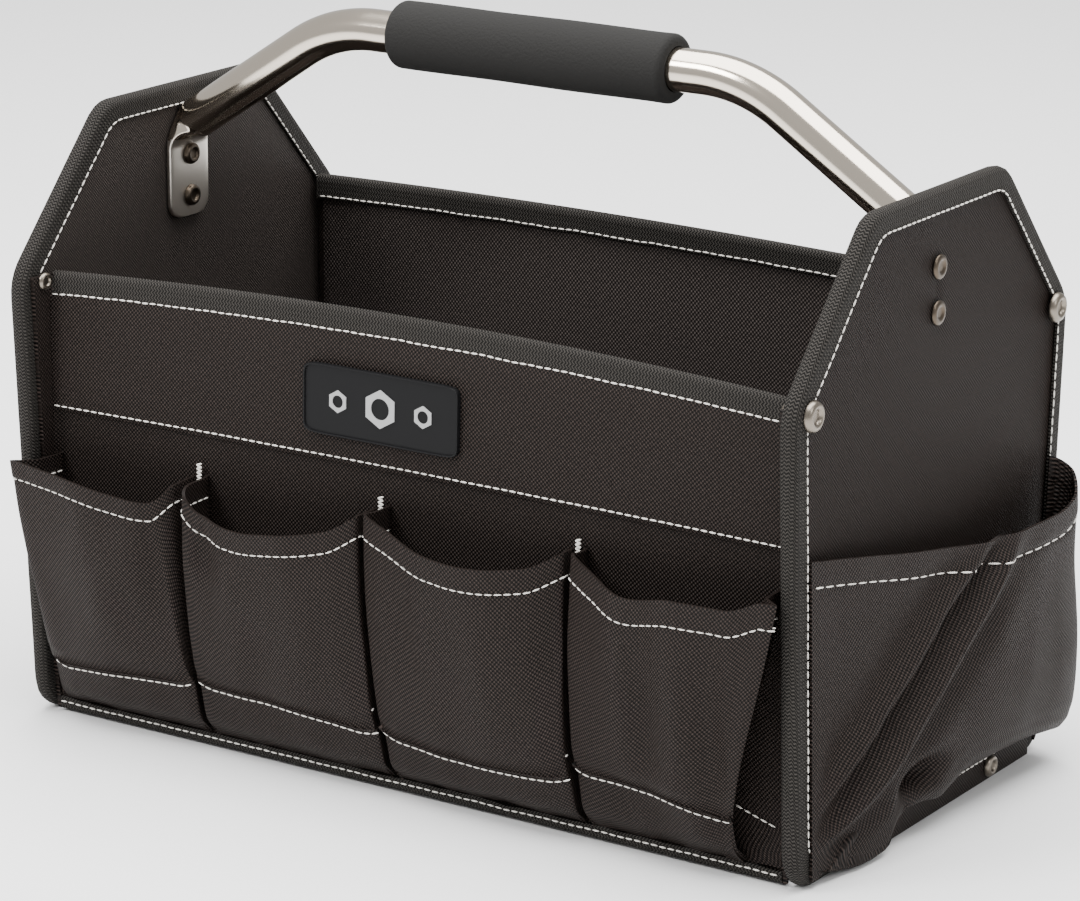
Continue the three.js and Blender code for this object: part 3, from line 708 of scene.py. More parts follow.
# %% [markdown]
# ## End panels
# The ends are stiff six-sided boards covered in fabric: they hold the bag up and carry the handle. The
# outline is found from six corners and their radii, so that the board, its webbing and the stitches can all
# follow it at their own inset.

# %% End outline
CORNER_STEPS = 8
RADIUS_LOSS = 0.3


def end_outline(inset):
    """Points round an end, some way in from its edge. Corners get a little tighter further in."""
    corners = [
        (-BAG_DEPTH / 2, 0, BOTTOM_RADIUS), (BAG_DEPTH / 2, 0, BOTTOM_RADIUS),
        (BAG_DEPTH / 2 + SHOULDER_FLARE, SHOULDER_HEIGHT, SHOULDER_RADIUS),
        (APEX_WIDTH / 2, APEX_HEIGHT, APEX_RADIUS), (-APEX_WIDTH / 2, APEX_HEIGHT, APEX_RADIUS),
        (-BAG_DEPTH / 2 - SHOULDER_FLARE, SHOULDER_HEIGHT, SHOULDER_RADIUS),
    ]
    outline = []
    for k, (y, z, corner_radius) in enumerate(corners):
        here = Vector((y, z))
        before = (Vector(corners[k - 1][:2]) - here).normalized()
        after = (Vector(corners[(k + 1) % len(corners)][:2]) - here).normalized()
        half = math.acos(before.dot(after)) / 2
        middle = (before + after).normalized()
        radius = corner_radius - RADIUS_LOSS * inset
        centre = here + middle * (inset + radius) / math.sin(half)
        for step in range(CORNER_STEPS + 1):
            turn = (math.pi - 2 * half) * (step / CORNER_STEPS - 0.5)
            outline.append(centre + Matrix.Rotation(turn, 2) @ (-middle * radius))
    return outline


def walk_outline(inset, samples):
    """The outline as evenly spaced points, starting in the middle of the bottom."""
    outline = end_outline(inset)
    loop = outline[CORNER_STEPS + 1:] + outline[:CORNER_STEPS + 1]
    start = (loop[-1] + loop[0]) / 2
    loop = [start] + loop + [start]
    runs = [(b - a).length for a, b in zip(loop, loop[1:])]
    total = sum(runs)
    points = []
    k, passed = 0, 0
    for sample in range(samples + 1):
        target = total * sample / samples
        while k < len(runs) - 1 and passed + runs[k] < target:
            passed += runs[k]
            k += 1
        points.append(loop[k].lerp(loop[k + 1], clamp((target - passed) / runs[k])))
    return points


print("points round an end:", len(end_outline(0)))

# %% The board's surface
BOARD_SAMPLES = 160
BOARD_OUTLINE = walk_outline(WEBBING + SEAM, BOARD_SAMPLES)
BOARD_MIDDLE = Vector((0, 128 * MM))
UPPER_RIVET = APEX_HEIGHT - 33 * MM
RIVET_HEIGHTS = (UPPER_RIVET, UPPER_RIVET - 19.5 * MM)
# Rings of the board from its middle over the edge: share of the reach, place along X from the outer face
BOARD_RINGS = [(k / 20, 0) for k in range(20)]
BOARD_RINGS += [(0.975, 0), (0.988, -0.2 * MM), (0.996, -0.7 * MM), (1, -1.6 * MM), (1, -3.4 * MM)]
BOARD_RINGS += [(share, -BOARD - x) for share, x in reversed(BOARD_RINGS[:-1])]
# The cover is uneven, is drawn in round the handle's rivets, and has a crease between them
DIMPLE_WIDTH = 7 * MM
CREASE_Y, CREASE_WIDTH = 0.6 * MM, 1.6 * MM
CREASE_FOOT = (215 * MM, 222 * MM)
CREASE_TOP = (247 * MM, 240 * MM)
COVER_SOFT = 0.5 * MM
SOFT_OUTSIDE, SOFT_INSIDE = 0.25 * MM, 0.2 * MM


def cover_height(y, z, share):
    """How far the cover of a board stands proud of it, or is drawn in."""
    dimple = max(bell(math.hypot(y, z - rivet), 0, DIMPLE_WIDTH) for rivet in RIVET_HEIGHTS)
    crease = bell(y, CREASE_Y, CREASE_WIDTH) * smooth(*CREASE_FOOT, z) * smooth(*CREASE_TOP, z)
    return COVER_SOFT * (wave(y, 4, z, 14) - dimple - crease) * smooth(1, 0.9, share)


def board(u, v):
    share, drop = BOARD_RINGS[round(v * (len(BOARD_RINGS) - 1))]
    spot = BOARD_MIDDLE.lerp(BOARD_OUTLINE[round(u * BOARD_SAMPLES)], share)
    soft = cover_height(spot.x, spot.y, share)
    out = min(soft, SOFT_OUTSIDE) if v < 0.5 else -min(soft, SOFT_INSIDE)
    return Vector((PANEL_OUTER + drop + out, spot.x, spot.y))


# %% End boards
for side, place in both_ends(board):
    end_board = surface(f"end_panel_{side}", BOARD_SAMPLES, len(BOARD_RINGS) - 1, place, closed=True)
    uv_from_place(end_board)
    soften(end_board, 50)
    declare(end_board, f"end_panel_{side}", smooth_fabric)
    line_inside(end_board, inner_fabric, lambda centre: abs(centre.x) < PANEL_OUTER - BOARD / 2)
    print(end_board.name, "has", len(end_board.data.polygons), "faces")

# %% [markdown]
# ## Webbing round the ends
# A strip of herringbone webbing is folded over the raw edge of each board and sewn through: an outer leg, a
# round edge and an inner leg, all the way round. It could be swept along a curve, but the inset outline
# turns the corners with it and keeps its width.

# %% The folded webbing
RING_SAMPLES = 220
LEG_SHARE = 0.36
LEG_END = 3 * MM
EDGE_FULLNESS = 0.8
WEBBING_WALL = 1.0 * MM
WEBBING_SOFT = 0.25 * MM
EDGE_HALF = (BAG_LENGTH / 2 - BINDING_INNER) / 2
RING_OUTLINES = {}


def ring_profile(v):
    """Inset from the edge and place along X, from the outer leg round to the inner one."""
    centre = BAG_LENGTH / 2 - EDGE_HALF
    if v < LEG_SHARE:
        return lerp(COVER, LEG_END, v / LEG_SHARE), BAG_LENGTH / 2
    if v > 1 - LEG_SHARE:
        return lerp(LEG_END, COVER, (v - 1 + LEG_SHARE) / LEG_SHARE), BINDING_INNER
    turn = math.pi * (v - LEG_SHARE) / (1 - 2 * LEG_SHARE)
    return LEG_END * (1 - math.sin(turn) ** EDGE_FULLNESS), centre + EDGE_HALF * math.cos(turn)


def ring(u, v):
    inset, x = ring_profile(1 - v)
    key = round(inset, 6)
    if key not in RING_OUTLINES:
        RING_OUTLINES[key] = walk_outline(inset, RING_SAMPLES)
    place = u * RING_SAMPLES
    k = min(int(place), RING_SAMPLES - 1)
    spot = RING_OUTLINES[key][k].lerp(RING_OUTLINES[key][k + 1], place - k)
    loose = WEBBING_SOFT * wave(x, spot.x, spot.y, 60)
    side = 1 if x > BAG_LENGTH / 2 - EDGE_HALF else -1
    return Vector((x + side * max(loose, 0) * smooth(0, LEG_END, inset), spot.x, spot.y))


# %% End bindings
RING_LENGTH = length([Vector((*spot, 0)) for spot in walk_outline(0, RING_SAMPLES)])
RING_WIDTH = 2 * COVER + 2 * EDGE_HALF
end_sheets("end_binding", RING_SAMPLES, 18, ring, WEBBING_WALL, webbing,
           flat=(RING_LENGTH, RING_WIDTH), closed=True)

# %% [markdown]
# ## Front and back panels
# Each long side is one sheet of lined cloth that turns forwards at both ends into a flange, which the corner
# rivets hold to the end board. It is pulled tight between the ends, so it bows in only a little and needs no
# folds of its own.

# %% The panel's surface
FLANGE_BEND = 3 * MM
FLANGE_X = WEB_END - FLANGE_THICKNESS
FLANGE_FOOT = 2 * MM


def flange(side, share, v):
    """One turned-forward end of the panel, from its bend at share 0 to its front edge at share 1."""
    z = lerp(PANEL_BOTTOM, panel_top(FLANGE_X), v)
    foot = smooth(PANEL_BOTTOM, BOTTOM_RADIUS, z)
    front = lerp(BODY_HALF + FLANGE_FOOT, end_edge(z) - FLANGE_INSET, foot)
    return Vector((side * FLANGE_X, -lerp(BODY_HALF + FLANGE_BEND / 2, front, share), z))


def panel(u, v):
    """From the front edge of the left flange, along the web, to the front edge of the right flange."""
    reach = end_edge(PANEL_HEIGHT) - FLANGE_INSET - BODY_HALF
    flange_share = reach / (2 * reach + 2 * FLANGE_X)
    if u < flange_share:
        return flange(-1, (flange_share - u) / flange_share, v)
    if u > 1 - flange_share:
        return flange(1, (u - 1 + flange_share) / flange_share, v)
    x = lerp(-FLANGE_X, FLANGE_X, (u - flange_share) / (1 - 2 * flange_share))
    z = lerp(PANEL_BOTTOM, panel_top(x), v)
    turn_in = max(0, FLANGE_BEND - (FLANGE_X - abs(x)))
    return Vector((x, panel_face(x, z) - turn_in ** 2 / (2 * FLANGE_BEND), z))


def inner_face(centre):
    """True for the faces of the panel that look into the bag."""
    middle = panel_face(centre.x, centre.z) + FLANGE_THICKNESS / 2
    return abs(centre.x) < FLANGE_X - FLANGE_BEND and middle < -abs(centre.y)


# %% Panels
for piece in side_sheets("panel", 96, 24, panel, FLANGE_THICKNESS, fabric):
    line_inside(piece, lining, inner_face)

# %% [markdown]
# ## Webbing and hem of the long sides
# The top edge is bound with the same webbing as the ends, and the foot has a narrow bound hem that wanders
# more, because it is sewn through many layers. Both are one folded strip, one of them upside down.

# %% A strip folded over an edge
TOP_WANDER, HEM_WANDER = 0.5 * MM, 1.0 * MM
FOLD_SHARE = 0.4
FOLD_START = 1.5 * MM
FOLD_PROUD = 1.2 * MM
HEM_BULGE = 1.2 * MM


def edge_wave(x, sign):
    """How far a sewn edge wanders: more along the hem than along the top."""
    size = TOP_WANDER if sign > 0 else HEM_WANDER
    return size * wave(x, sign, 0, 45) + 0.5 * size * wave(x, 3 * sign, 0, 140)


def fold_profile(cover, v):
    """Way down from the edge, and side: 1 on the front leg, -1 on the back leg, between them the fold."""
    if v < FOLD_SHARE:
        return lerp(cover, FOLD_START, v / FOLD_SHARE), 1
    if v > 1 - FOLD_SHARE:
        return lerp(FOLD_START, cover, (v - 1 + FOLD_SHARE) / FOLD_SHARE), -1
    turn = math.pi * (v - FOLD_SHARE) / (1 - 2 * FOLD_SHARE)
    return FOLD_START * (1 - math.sin(turn)) - FOLD_PROUD * math.sin(turn), math.cos(turn)


def over_edge(edge, cover, sign, bulge=0.0):
    """Surface of a strip folded over an edge of the panel, front leg first when seen from above."""
    half = FLANGE_THICKNESS / 2 + SEAM + WEBBING

    def place(u, v):
        x = lerp(-COVER_END, COVER_END, u)
        down, out = fold_profile(cover, v)
        z = edge(x) - sign * (down - edge_wave(x, sign) * smooth(2 * MM, cover, down))
        y = panel_face(x, z) + FLANGE_THICKNESS / 2 - out * (half + bulge * max(out, 0))
        return Vector((x, y, z))

    return place


top_edge = over_edge(panel_top, COVER, 1)
hem_edge = over_edge(lambda x: PANEL_BOTTOM, HEM_COVER, -1, bulge=HEM_BULGE)


def hem_face(u, v):
    """The hem is folded upwards, so it is walked the other way to face out."""
    return hem_edge(u, 1 - v)


# %% Webbing and hem
side_sheets("top_binding", 120, 16, top_edge, WEBBING_WALL, webbing, angle=60)
side_sheets("hem", 120, 16, hem_face, WEBBING_WALL, webbing, angle=60)

# %% [markdown]
# ## Band
# A second layer of cloth lies over the upper part of each long side and carries the patch. It is sewn at
# both edges and loose between them, so it swells a little there.

# %% Band
BAND_WALL = 1.0 * MM
BAND_TUCK = 1.5 * MM
BAND_SWELL = 0.8 * MM
BAND_CREASE = 0.35 * MM


def band(u, v):
    x = lerp(-COVER_END, COVER_END, u)
    z = lerp(BAND_BOTTOM, panel_top(x) - COVER + BAND_TUCK, v)
    soft = BAND_SWELL * wave(x, 5, z, 14) + BAND_CREASE * wave(x, 9, z, 45)
    held_down = smooth(0, 0.06, v) * smooth(1, 0.9, v)
    lift = SEAM + BAND + (soft + BAND_SWELL) * held_down
    return Vector((x, panel_face(x, z) - lift, z))


side_sheets("band", 130, 22, band, BAND_WALL, fabric)

# %% [markdown]
# ## Pockets of the long sides
# A pocket is one sheet, sewn down at its two sides and along its foot, and wider than its place, so that it
# stands off in a fold at each side and opens towards the rim. Its foot is lapped: the lower part lies over
# the upper one and is sewn on. Cloth simulation would make folds of its own choice; short tables put them
# where the real ones are.

# %% Pocket tables
# left and right: sewn lines, shares of the half panel.
# top and foot: how far the left and the right fold stand off those lines there, shares of the depth.
# rims and low: heights of the rim and of the low stitch row along the pocket, in millimetres.
# hem: from the rim down to its stitches. lean: how far the foot of each side is drawn sideways.
# tuck: how far the right side is folded back under the pocket at its foot.
# drawn: share of its depth that each side keeps at the top, where the tacks draw it back.
POCKETS = [
    dict(left=-1, right=-0.575, top=(-0.3, 0.5), foot=(0.35, 0.05), rims=(123, 122, 120, 117, 115, 127),
         low=(27, 30, 32), hem=8, lean=(0, 7.5), tuck=0, drawn=(1, 1)),
    dict(left=-0.575, right=-0.065, top=(0.26, 0.06), foot=(0.05, 0.05), rims=(127, 115, 112, 114, 118, 127),
         low=(33, 32, 29), hem=9.3, lean=(7.5, 10), tuck=0, drawn=(1, 0.7)),
    dict(left=-0.065, right=0.465, top=(0.05, 0.05), foot=(0.05, 0.05), rims=(128, 124, 118, 117, 119, 127),
         low=(30, 27, 29), hem=10.3, lean=(10, 8), tuck=0, drawn=(0.7, 0.45)),
    dict(left=0.465, right=1, top=(0.06, -0.3), foot=(0.05, 0.72), rims=(127, 123, 118, 122, 122, 128),
         low=(34, 33, 22), hem=10.8, lean=(8, 0), tuck=26, drawn=(0.45, 1)),
]
RIM_SHARES = (0, 0.16, 0.38, 0.6, 0.84, 1)
ROW_DEPTH = [(0, 0.064), (0.06, 0.4), (0.175, 0.62), (0.2, 0.72), (0.45, 0.9), (0.8, 1), (1, 1)]
ROW_FOLD = [(0, 0), (0.175, 0), (0.2, 0.05), (0.45, 0.35), (0.8, 0.8), (1, 1)]
# Soft dents and bulges: pocket, place along X and Z, half width and half height, and depth, in millimetres
DENTS = [
    (1, -118, 88, 5, 22, -3.0), (1, -150, 70, 14, 30, 2.0), (1, -172, 60, 7, 34, -1.6),
    (2, -91, 96, 5, 11, -4.0), (2, -78, 84, 7, 9, 2.0), (2, -40, 60, 16, 30, 1.6),
    (2, -66, 60, 8, 26, -1.4), (3, 10, 86, 7, 20, -2.6), (3, 60, 60, 18, 30, 1.8),
    (3, 34, 70, 7, 30, -1.4), (3, 84, 80, 6, 24, -2.0), (4, 118, 95, 8, 16, 2.2),
    (4, 132, 70, 6, 30, -3.6), (4, 150, 66, 7, 36, 3.0), (4, 166, 60, 5, 30, -3.0),
    (4, 138, 38, 10, 7, 3.2), (4, 118, 30, 9, 6, -1.6),
]
FLANGE = 2.5 * MM
LAP_STEP = 1.1 * MM
LAP_GROOVE = 1.0 * MM
HEM_STEP = 0.7 * MM
SEWN_IN = 0.6 * MM
LOW_SEWN_IN = 0.3 * MM
CORNER_LIFT = 2.2 * MM
BROAD_WAVE, FINE_WAVE = 1.8 * MM, 0.7 * MM

# Shares of the grid's rows at which the low stitches, the lap's edge and the hem's stitches lie
V_ROW, V_LAP_LOW, V_LAP_HIGH = 0.2, 0.25, 0.28
V_HEM_LOW, V_HEM, V_HEM_HIGH = 0.8, 0.83, 0.86
V_SHARES = (0, V_ROW, V_LAP_LOW, V_LAP_HIGH, V_HEM_LOW, V_HEM, V_HEM_HIGH, 1)
V_HEIGHTS = (0, 0.17, 0.185, 0.195, 0.9, 0.915, 0.93, 1)
# Shares of the grid's columns: sewn flange, side of the fold, its crest, and the face between the crests
U_STATIONS = (0, 0.04, 0.12, 0.2, 0.28, 0.5, 0.72, 0.8, 0.88, 0.96, 1)
SIDE_DEPTH, CREST_DEPTH = 0.62, 0.93
print("pockets a side:", len(POCKETS))


# %% Where a pocket's cloth runs
def stations_across(pocket, left, right, fold):
    """X of the cloth at each station, for a row between the foot (fold 0) and the rim (fold 1)."""
    stand_left, stand_right = (lerp(a, b, fold) for a, b in zip(pocket["foot"], pocket["top"]))
    crest_left = left + POCKET_DEPTH * stand_left
    crest_right = right - POCKET_DEPTH * stand_right
    inner_right = right - FLANGE - pocket["tuck"] * MM * (1 - fold)
    return (left, left + FLANGE, lerp(left + FLANGE, crest_left, 0.125), crest_left,
            lerp(crest_left, crest_right, 0.12), (crest_left + crest_right) / 2,
            lerp(crest_left, crest_right, 0.88), crest_right,
            lerp(inner_right, crest_right, 0.125), inner_right, right)


def stations_out(pocket, depth, fold):
    """How far the cloth stands off the panel at each station."""
    at_left, at_right = (depth * lerp(1, share, fold) for share in pocket["drawn"])
    return (POCKET_WALL, POCKET_WALL, SIDE_DEPTH * at_left, CREST_DEPTH * at_left,
            (at_left + depth) / 2, depth + POCKET_BELLY * fold, (at_right + depth) / 2,
            CREST_DEPTH * at_right, SIDE_DEPTH * at_right, POCKET_WALL, POCKET_WALL)


def relief(number, u, v, x, z):
    """Lap, hem, waves and dents: what the cloth of a pocket does on its face."""
    lap = LAP_STEP * smooth(V_LAP_HIGH, V_LAP_LOW, v) * smooth(0, 0.1, v)
    lap -= LAP_GROOVE * bell(v, V_LAP_HIGH + 0.012, 0.012) + LOW_SEWN_IN * bell(v, V_ROW, 0.015)
    hem = HEM_STEP * smooth(V_HEM_LOW, V_HEM_HIGH, v) - SEWN_IN * bell(v, V_HEM, 0.012)
    broad = BROAD_WAVE * wave(1.6 * x, 3 + number, 0.7 * z, 16)
    fine = FINE_WAVE * wave(1.4 * x, 7 + number, 0.8 * z, 48)
    dent = sum(deep * MM * bell(x, at_x * MM, half_x * MM) * bell(z, at_z * MM, half_z * MM)
               for where, at_x, at_z, half_x, half_z, deep in DENTS if where == number)
    on_face = smooth(0.13, 0.24, u) * smooth(0.87, 0.76, u)
    return on_face * (lap + hem + (broad + fine) * smooth(0, 0.12, v)) + dent * on_face


# %% A pocket's surface
def pocket_surface(pocket, number):
    left = pocket["left"] * COVER_END + SEAM / 2
    right = pocket["right"] * COVER_END - SEAM / 2
    bottom = PANEL_BOTTOM + HEM_COVER + SEAM
    drop = pocket["hem"] * MM
    rim_table = list(zip(RIM_SHARES, pocket["rims"]))
    low_table = list(zip((0, 0.5, 1), pocket["low"]))
    nominal = list(zip(V_SHARES, V_HEIGHTS))

    def row_height(u, v, share, foot):
        """Z of the cloth: the rows follow the foot, the low stitches, the hem and the rim."""
        rim, low = spline(rim_table, share) * MM, spline(low_table, share) * MM
        low += CORNER_LIFT * (smooth(0.27, 0.19, u) + smooth(0.73, 0.81, u))
        heights = (foot, low, low + 1.7 * MM, low + 2.1 * MM,
                   rim - drop - 1.2 * MM, rim - drop, rim - drop + 1.2 * MM, rim)
        return linear(list(zip(V_SHARES, heights)), v)

    def place(u, v):
        height = linear(nominal, v)
        fold = spline(ROW_FOLD, height)
        depth = POCKET_DEPTH * spline(ROW_DEPTH, height)
        across = list(zip(U_STATIONS, stations_across(pocket, left, right, fold)))
        out = list(zip(U_STATIONS, stations_out(pocket, depth, fold)))
        on_flange = u < U_STATIONS[1] or u > U_STATIONS[-2]
        x = linear(across, u) if on_flange else spline(across, u)
        share = clamp((x - left) / (right - left))
        lean = lerp(*pocket["lean"], share) * MM * smooth(0.85, 0.1, v)
        z = row_height(u, v, share, bottom + edge_wave(x + lean, -1))
        stand = max(POCKET_WALL, spline(out, u)) + relief(number, u, v, x, z)
        return Vector((x + lean, panel_face(x, z) - SEAM - max(stand, POCKET_WALL), z))

    return place


# %% Pockets
pocket_places = [pocket_surface(pocket, number) for number, pocket in enumerate(POCKETS, start=1)]
for number, place in enumerate(pocket_places, start=1):
    side_sheets(f"pocket_{number}", 90, 100, place, POCKET_WALL, fabric, angle=70)

# %% [markdown]
# ## Pouches of the ends
# A large loose pouch sags out of each end. It is one sheet, sewn down at both sides and below, with a hem
# at its rim. Slack cloth hangs in long folds drawn up from its lower front corner, and its underside is
# tucked back above the base strip. Each fold is a bell across a line that a short table gives.

# %% Pouch tables
# share of the length, depth of the bulge and height of the rim
POUCH = [
    (0, 0, 1), (0.06, 0.1, 0.985), (0.16, 0.3, 0.96), (0.28, 0.46, 0.925), (0.4, 0.62, 0.895),
    (0.52, 0.76, 0.865), (0.64, 0.88, 0.845), (0.76, 0.96, 0.835), (0.88, 1, 0.835),
    (0.97, 0.92, 0.86), (1.01, 0.55, 0.92), (1, 0.2, 0.95), (0.985, 0, 0.96),
]
POUCH_BULGE = [(0, 0.72), (0.06, 0.95), (0.14, 1.06), (0.26, 1.1), (0.44, 1.04), (0.62, 0.96), (0.8, 0.9),
               (1, 0.86)]
POUCH_UNDER = [(0, 0), (0.5, 0.5), (1, 0.72)]
# Height of the lowest fold along Y, in millimetres: the lobe at the front, the notch and the belly
POUCH_FOOT = [
    (-99, 9), (-87, 4), (-66, 1.5), (-50, 3), (-43, 12), (-35, 17), (-24, 17), (-12, 15),
    (0, 19), (14, 23), (34, 23), (56, 22), (78, 19), (99, 16), (110, 16),
]
# Folds drawn up from the lower front corner: height at six places along Y, half width and rise
FOLD_PLACES = (-105, -67, -39, -11, 17, 50)
POUCH_FOLDS = [
    ((25, 59, 81, 103, 119, 139), 3.2, 3.6),
    ((33, 72, 96, 116, 132, 150), 7.0, -2.2),
    ((16, 46, 68, 91, 109, 128), 3.4, -6.0),
    ((13, 33, 53, 76, 97, 119), 3.6, 5.0),
    ((10, 22, 39, 61, 83, 107), 5.0, -3.0),
]
# A hollow under the belly: place along Y and Z, half width, half height and depth, in millimetres
HOLLOW = (-27, 29, 8, 4, 12)
HOLLOW_SLOPE = 0.25
STRIP_BOTTOM = 1 * MM
STRIP_HEIGHT = 17 * MM
STRIP_THICKNESS = 1.5 * MM
TUCK = STRIP_BOTTOM + STRIP_HEIGHT + SEAM
POUCH_BASE = BAG_LENGTH / 2 + SEAM
POUCH_HEM = 11 * MM
POUCH_SAG = 0.7
POUCH_BROAD, POUCH_FINE = 1.8 * MM, 0.8 * MM
# Shares of the grid's rows: the underside ends, and the hem's stitches lie
UNDER = 0.14
V_POUCH_HEM = 0.9
print("folds in a pouch:", len(POUCH_FOLDS))


# %% A pouch's surface
def pouch_column(column, u):
    table = [(k / (len(POUCH) - 1), row[column]) for k, row in enumerate(POUCH)]
    return spline(table, u)


def pouch_folds(y, z):
    """Rise of all the folds at one place. They fade out towards both sides of the pouch."""
    total = 0
    for heights, width, rise in POUCH_FOLDS:
        line = spline(list(zip(FOLD_PLACES, heights)), y / MM)
        total += rise * MM * bell(z / MM, line, width / 0.8)
    return total * smooth(-100, -82, y / MM) * smooth(62, 20, y / MM)


def pouch_hollow(y, z):
    at_y, at_z, half_width, half_height, deep = (value * MM for value in HOLLOW)
    return deep * bell(y, at_y, half_width) * bell(z, at_z + HOLLOW_SLOPE * (y - at_y), half_height)


def pouch_underside(at, depth, foot, share):
    """From the sewn line above the base strip out to the lowest fold."""
    opened = smooth(0, 0.3, depth)
    clear = (STRIP_THICKNESS + SEAM + POUCH_WALL) * min(share * 3, 1)
    stand = max(POUCH_DEPTH * depth * spline(POUCH_UNDER, share), clear)
    z = lerp(foot * lerp(0.4, 1, share), lerp(TUCK, foot, share ** 2), opened)
    reach = end_edge(z) - COVER - SEAM
    return Vector((POUCH_BASE + POUCH_WALL + stand * opened, lerp(-reach, reach, at), z))


def pouch(u, v):
    at, depth, rim = (pouch_column(k, u) for k in range(3))
    rim = rim * POUCH_HEIGHT
    along = lerp(-1, 1, at) * (end_edge(0.3 * rim) - COVER - SEAM)
    foot = spline(POUCH_FOOT, along / MM) * MM
    if v < UNDER:
        return pouch_underside(at, depth, foot, v / UNDER)
    share = (v - UNDER) / (1 - UNDER)
    hem_share = (V_POUCH_HEM - UNDER) / (1 - UNDER)
    z = linear([(0, foot), (hem_share, rim - POUCH_HEM), (1, rim)], share)
    height = (z - foot) / (rim - foot)
    reach = end_edge(z) - COVER - SEAM
    y = lerp(-reach, reach, at)
    out = POUCH_DEPTH * depth * spline(POUCH_BULGE, height) - pouch_hollow(y, z)
    out += pouch_folds(y, z) * smooth(0, 0.12, height) * (1 - 0.6 * smooth(0.85, 1, height))
    soft = POUCH_BROAD * (wave(y, 2, z, 15) - POUCH_SAG) + POUCH_FINE * wave(y, 6, z, 40)
    out += soft * smooth(0, 0.2, depth) * smooth(0, 0.1, height)
    hem = HEM_STEP * smooth(V_POUCH_HEM - 0.006, V_POUCH_HEM + 0.006, v)
    hem -= HEM_STEP * bell(v, V_POUCH_HEM, 0.009)
    return Vector((POUCH_BASE + POUCH_WALL + max(out + hem * smooth(0, 0.1, depth), 0), y, z))


# %% Pouches
end_sheets("end_pocket", 170, 120, pouch, POUCH_WALL, fabric, angle=70,
           flat_weave=True)

# %% [markdown]
# ## Base and strips
# The bag stands on a stiff board wrapped in cloth. It is a plain box with rounded edges, so a cube and a
# bevel are enough. Under each pouch a short strip of cloth is sewn on, and two studs go through it.

# %% Base
BASE_WRAP = 4 * MM
BASE_ROUND = 1.2 * MM
BASE_SIZES = (2 * WEB_END, 2 * (BODY_HALF - BASE_WRAP - 2 * SEAM - WEBBING), BOARD)

bpy.ops.object.select_all(action="DESELECT")
bpy.ops.mesh.primitive_cube_add(size=1)
base = bpy.context.object
base.name = "base_board"
for vertex in base.data.vertices:
    vertex.co = Vector(a * b for a, b in zip(vertex.co, BASE_SIZES)) + Vector((0, 0, BOARD / 2))
edit(base, lambda: bpy.ops.uv.cube_project(cube_size=1.0, correct_aspect=False))
bevel = base.modifiers.new("round", "BEVEL")
bevel.width = BASE_ROUND
bevel.segments = 3
apply_modifiers(base)
soften(base)
declare(base, "base_board", lining)
print("base", [round(size, 3) for size in BASE_SIZES])

# %% Base strips
STRIP_FRONT = 43 * MM - BAG_DEPTH / 2
STRIP_BACK = BAG_DEPTH / 2 - 17 * MM


def base_strip(u, v):
    y = lerp(STRIP_FRONT, STRIP_BACK, u)
    z = lerp(STRIP_BOTTOM, STRIP_BOTTOM + STRIP_HEIGHT, v)
    return Vector((POUCH_BASE + STRIP_THICKNESS, y, z))


end_sheets("base_strip", 60, 8, base_strip, STRIP_THICKNESS, fabric)

# %% [markdown]
# ## Handle
# One steel tube, straight under the grip, bent down at both ends, and pressed flat into a riveted tab. A
# curve with a round bevel could make the tube but not the pressing, so it is built ring by ring: each
# station has a place, a heading, a half thickness and a half width.

# %% Handle sizes
TUBE_RADIUS = 9.5 * MM
GRIP_HEIGHT = APEX_HEIGHT + 35 * MM
STRAIGHT_HALF = 85 * MM
BEND = 73 * MM
TAB_BEND = 18 * MM
TAB_HALF = 1.75 * MM
TAB_HALF_WIDTH = 14 * MM
TAB_X = PANEL_INNER - SEAM - TAB_HALF
TAB_TOP = UPPER_RIVET + 3.2 * MM
TAB_BOTTOM = RIVET_HEIGHTS[1] - 9.5 * MM


TAB_CORNER = 7 * MM
BEND_STEPS, SLOPE_STEPS, TAB_STEPS, PLATE_STEPS, CORNER_RINGS = 20, 6, 16, 4, 8
SQUARE_END = 0.4
# Faces up to this height above the tab get the rougher finish with its painted highlight
BRUSHED_HIGHLIGHT_FROM = 5 * MM
print("tab from", TAB_BOTTOM, "to", TAB_TOP)


# %% The tube's stations
def step(heading, run):
    return Vector((math.cos(heading), -math.sin(heading))) * run


def tube_stations(bend_angle, slope_run):
    """The round part: straight, then bent down, then straight again."""
    place = Vector((0, GRIP_HEIGHT))
    stations = [(place, 0, TUBE_RADIUS, TUBE_RADIUS)]
    place = place + step(0, STRAIGHT_HALF)
    stations.append((place, 0, TUBE_RADIUS, TUBE_RADIUS))
    turn = bend_angle / BEND_STEPS
    for k in range(1, BEND_STEPS + 1):
        place = place + step(turn * (k - 0.5), 2 * BEND * math.sin(turn / 2))
        stations.append((place, turn * k, TUBE_RADIUS, TUBE_RADIUS))
    for _ in range(SLOPE_STEPS):
        place = place + step(bend_angle, slope_run / SLOPE_STEPS)
        stations.append((place, bend_angle, TUBE_RADIUS, TUBE_RADIUS))
    return stations


def pressed_stations(place, bend_angle):
    """Where the tube meets the end board it is pressed flat, and gets wider as it gets thinner."""
    stations = []
    turn = (math.pi / 2 - bend_angle) / TAB_STEPS
    for k in range(1, TAB_STEPS + 1):
        heading = bend_angle + turn * k
        place = place + step(heading - turn / 2, 2 * TAB_BEND * math.sin(turn / 2))
        half = min(TUBE_RADIUS, (PANEL_INNER - SEAM - place.x) / math.sin(heading))
        pressed = (TUBE_RADIUS - half) / (TUBE_RADIUS - TAB_HALF)
        stations.append((place, heading, half, lerp(TUBE_RADIUS, TAB_HALF_WIDTH, pressed)))
    return stations


